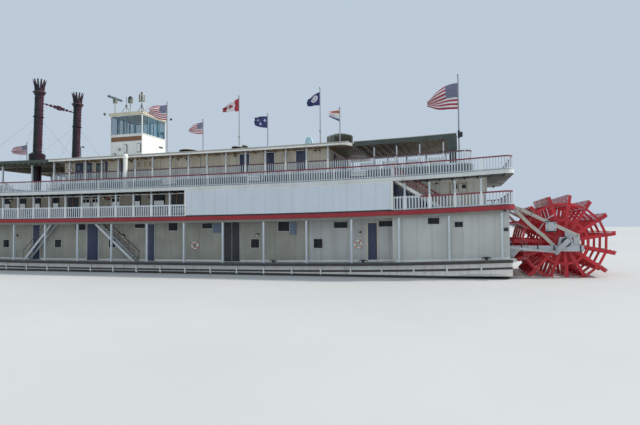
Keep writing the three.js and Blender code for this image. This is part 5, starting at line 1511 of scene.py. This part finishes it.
def make_bow_gear():
    form = Form(dark)
    for side in PAIR:
        for x, y in ((-66.5, 3.3), (-58.4, 5.6), (-55.4, 6.2)):
            bitts(form, x, side * y)
        for x in (-69.5, -62.5, -20.0, -12.0, -2.2):
            y, z = side * min(6.6, deck_half(x) - 0.5), MAIN + sheer(x)
            form.tube([(x + dx, y, z + up) for dx, up in
                      ((-0.35, 0.14), (-0.18, 0.2), (0.18, 0.2), (0.35, 0.14))], 0.04)
            form.bar(x, 0.12, y - 0.06, y + 0.06, z, z + 0.18)
        x, y = -70.6, side * 1.35
        z = MAIN + sheer(x)
        form.tube([(x, y, z + 0.12), (x + 1.1, y + side * 0.25, z + 0.12)], 0.05)
        form.tube([(x + 0.15, y - 0.4, z + 0.14), (x, y, z + 0.1), (x + 0.05, y + 0.45, z + 0.14)], 0.045)
        form.ring((x + 1.2, y + side * 0.28, z + 0.12), 0.1, 0.025, (0, 0, 1), 20, 6)
    z = MAIN + sheer(-65)
    form.lathe((-65, 0, z), [(0.6, 0), (0.6, 0.08), (0.42, 0.1), (0.32, 0.4), (0.3, 0.7), (0.42, 0.95),
                             (0.5, 1.0),
                             (0.5, 1.1), (0.2, 1.18), (0.0, 1.2)], 32)
    for t in turns(8):
        y = 0.3 * math.sin(t)
        form.bar(-65 + 0.3 * math.cos(t), 0.03, y - 0.03, y + 0.03, z + 0.12, z + 0.92)
    z = MAIN + sheer(-62.5)
    form.block(-63.2, -61.8, -0.9, 0.9, z, z + 0.35, stage_wood)
    form.block(-63.3, -61.7, -1.0, 1.0, z + 0.35, z + 0.42, stage_wood)
    for y in (-0.3, 0.3):
        form.tube([(-62.2, y + dy, z + up) for dy, up in
                  ((-0.1, 0.42), (-0.1, 0.5), (0.1, 0.5), (0.1, 0.42))], 0.02, 6)
    make_bell(form, -57.2)
    form.make("deck_bitts_and_capstan", "boiler_iron")

    form = Form(dark_strake)
    first, count = BOW_X + 0.15, 24
    for side in PAIR:
        line = [first + (-54 - first) * (i / count) ** 1.4 for i in range(count + 1)]
        form.tube([(x, side * deck_half(x), MAIN + sheer(x) - 0.12) for x in line], 0.1)
        form.run(-54, -0.3, side * 6.93, side * 7.06, MAIN - 0.24, MAIN - 0.03)
        form.run(-54, -0.3, side * 6.72, side * 6.8, MAIN - 0.75, MAIN - 0.6)
        for k in range(20):
            form.bar(-52 + 2.6 * k, 0.06, side * 6.72, side * 6.84, MAIN - 0.95, MAIN - 0.24, white, True)
    form.make("hull_rubbing_strakes", "hull_paint")


DERRICK_X, DERRICK_Y, BOOM, STAGE_HALF = -61.2, 4.4, 5.8, 5.12


def make_stage_rigging():
    deck_z, tip_x = MAIN + sheer(DERRICK_X), DERRICK_X - BOOM
    low = deck_z + 2.3
    for name, side in SIDES:
        y = side * DERRICK_Y
        form = Form(white)
        for z, radius in ((0.06, 0.26), (3.4, 0.22), (3.6, 0.22), (8.35, 0.14)):
            form.lathe((DERRICK_X, y, deck_z + z),
                       [(0.12, -0.05), (radius, -0.04), (radius, 0.04), (0.12, 0.05)], 18)
        form.lathe((DERRICK_X, y, deck_z + 8.55), [(0.1, 0), (0.13, 0.06), (0.1, 0.16), (0.0, 0.2)], 14)
        for z in (6.5, 5.85):
            form.lathe((tip_x, y, deck_z + z),
                       [(0.07, -0.12), (0.1, -0.1), (0.1, 0.1), (0.07, 0.12)], 10, dark)
        for x0, z0, x1, z1, dy in ((0, 8.3, 0.05 - BOOM, 6.55, 0.05), (0, 8.3, 0.05 - BOOM, 6.55, -0.05),
                                   (-0.1, 3.75, -0.3, 8.1, 0)):
            form.tube([(DERRICK_X + x0, y + dy, deck_z + z0),
                       (DERRICK_X + x1, y + dy, deck_z + z1)], 0.014, 5, rope)
        form.lathe((DERRICK_X - 0.2, y, deck_z + 1.1),
                   [(0.0, -0.2), (0.11, -0.2), (0.11, 0.2), (0.0, 0.2)], 14, dark,
                   (0, 1, 0))
        form.make(f"derrick_fittings_{name}", "white_paint", f"stage_derrick_{name}")

        form = Form(stage_wood)
        for k in range(34):
            x0 = tip_x - 5.1 + k * 0.3
            form.block(x0 + 0.01, x0 + 0.29, y - 0.78, y + 0.78,
                       low + 0.255, low + 0.3 + random.uniform(0, 0.01))
        for s in PAIR:
            form.bar(tip_x, STAGE_HALF, y + s * 0.72, y + s * 0.79, low - 0.03, low + 0.3, white)
            rail_y = y + s * 0.74
            for dx in (-4.8, -3.2, -1.6, 0, 1.6, 3.2, 4.8):
                form.tube([(tip_x + dx, rail_y, low + 0.28),
                           (tip_x + dx, rail_y, low + 1.2)], 0.022, 6, white)
            for z in (0.78, 1.2):
                form.tube([(tip_x - 4.8, rail_y, low + z), (tip_x + 4.8, rail_y, low + z)], 0.016, 6, rope)
        form.make(f"stage_planks_{name}", "stage_wood", f"landing_stage_{name}")


def bench(form, x, y, level, turn):
    z = level + sheer(x)
    form.bar(x, 0.7, y - 0.2, y + 0.2, z + 0.4, z + 0.46)
    for k in range(3):
        form.bar(x, 0.7, y - turn * 0.24, y - turn * 0.2, z + 0.52 + 0.14 * k, z + 0.61 + 0.14 * k)
    for dx in (-0.62, 0.62):
        form.bar(x + dx, 0.03, y - 0.2, y - 0.14, z, z + 0.92, green)
        form.bar(x + dx, 0.03, y + 0.14, y + 0.2, z, z + 0.42, green)


def make_furniture():
    """Benches along the upper decks."""
    form = Form(white)
    for side in PAIR:
        for level, y, turn, places in (
                (HURRICANE, 5.85, 1, (-50.5, -44.5, -31.0, -22.0, -12.5)),
                (TEXAS, 1.6, 1, (-12, -10, -8, -6)),
                (TEXAS, 3.4, -1, (-12, -10, -8, -6)), (BOILER, 5.72, 1, (-47, -30, -24.5, -14)),
                (BOILER, 2.2, 1, (-56.5,)), (HURRICANE, 2.4, 1, (-56.0,))):
            for x in places:
                bench(form, x, side * y, level, side * turn)
    form.make("deck_benches", "white_paint", bevel=0.008)


def put(name, data):
    thing = bpy.data.objects.new(name, data)
    bpy.context.scene.collection.objects.link(thing)
    return thing


def make_camera():
    """The photograph's camera, fitted to the ship's known sizes."""
    heading, climb, roll = math.radians(15.74), math.radians(1.8), math.radians(-0.5)
    forward = Vector((-math.sin(heading) * math.cos(climb),
                      math.cos(heading) * math.cos(climb), math.sin(climb)))
    right = Vector((math.cos(heading), math.sin(heading), 0))
    up = right.cross(forward)
    right, up = right * math.cos(roll) + up * math.sin(roll), up * math.cos(roll) - right * math.sin(roll)
    camera = put("camera", bpy.data.cameras.new("camera"))
    camera.data.lens, camera.data.clip_start, camera.data.clip_end = 27.75, 0.05, 500
    turn = Matrix((right, up, -forward)).transposed().to_4x4()
    camera.matrix_world = Matrix.Translation(at(-4.206, -47.289, 4.11 + DRAFT)) @ turn
    bpy.context.scene.camera = camera


def make_stage():
    """A pale floor at the waterline, and soft light with the sun from aft."""
    size, level = 150, DRAFT * SCALE
    mesh = bpy.data.meshes.new("floor")
    mesh.from_pydata([(-size, -size, level), (size, -size, level), (size, size, level),
                      (-size, size, level)], [],
                     [(0, 1, 2, 3)])
    p = Paint("floor_pale", 0.75)
    mesh.materials.append(p.colour(p.mix(p.noise(0.6), (0.62, 0.62, 0.6), (0.58, 0.58, 0.56))))
    put("floor", mesh)

    world = bpy.data.worlds.new("sky")
    bpy.context.scene.world = world
    world.use_nodes = True
    back = world.node_tree.nodes["Background"]
    back.inputs["Color"].default_value = (0.7, 0.82, 0.96, 1)
    back.inputs["Strength"].default_value = 0.72
    bpy.context.scene.view_settings.view_transform = "Standard"

    sun = bpy.data.lights.new("sun", "SUN")
    sun.energy, sun.angle, sun.color = 3.4, math.radians(4), (1, 0.96, 0.9)
    put("sun", sun).rotation_euler = Vector((-0.86, -0.25, -0.62)).to_track_quat("-Z", "Y").to_euler()

    fill = bpy.data.lights.new("fill", "AREA")
    fill.energy, fill.size, fill.color = 90, 9, (0.95, 0.97, 1)
    soft = put("fill", fill)
    soft.location = (1.5, -9, 5)
    soft.rotation_euler = (Vector((0, 0, 1)) - soft.location).to_track_quat("-Z", "Y").to_euler()


for make in (make_camera, make_stage, dress_nodes, make_rails, make_texas_fittings, make_boiler_fittings,
             make_main_fittings, make_life_rings, make_beams, make_flags, make_chimney_trim,
             make_pilothouse_trim, make_wheel_planks, make_brace_details, make_stair_rails,
             make_canopy_details, make_roof_details, make_main_stairs, make_sign_trim, make_salon_doors,
             make_baskets, make_bow_gear, make_stage_rigging, make_furniture):
    make()

bpy.context.view_layer.update()
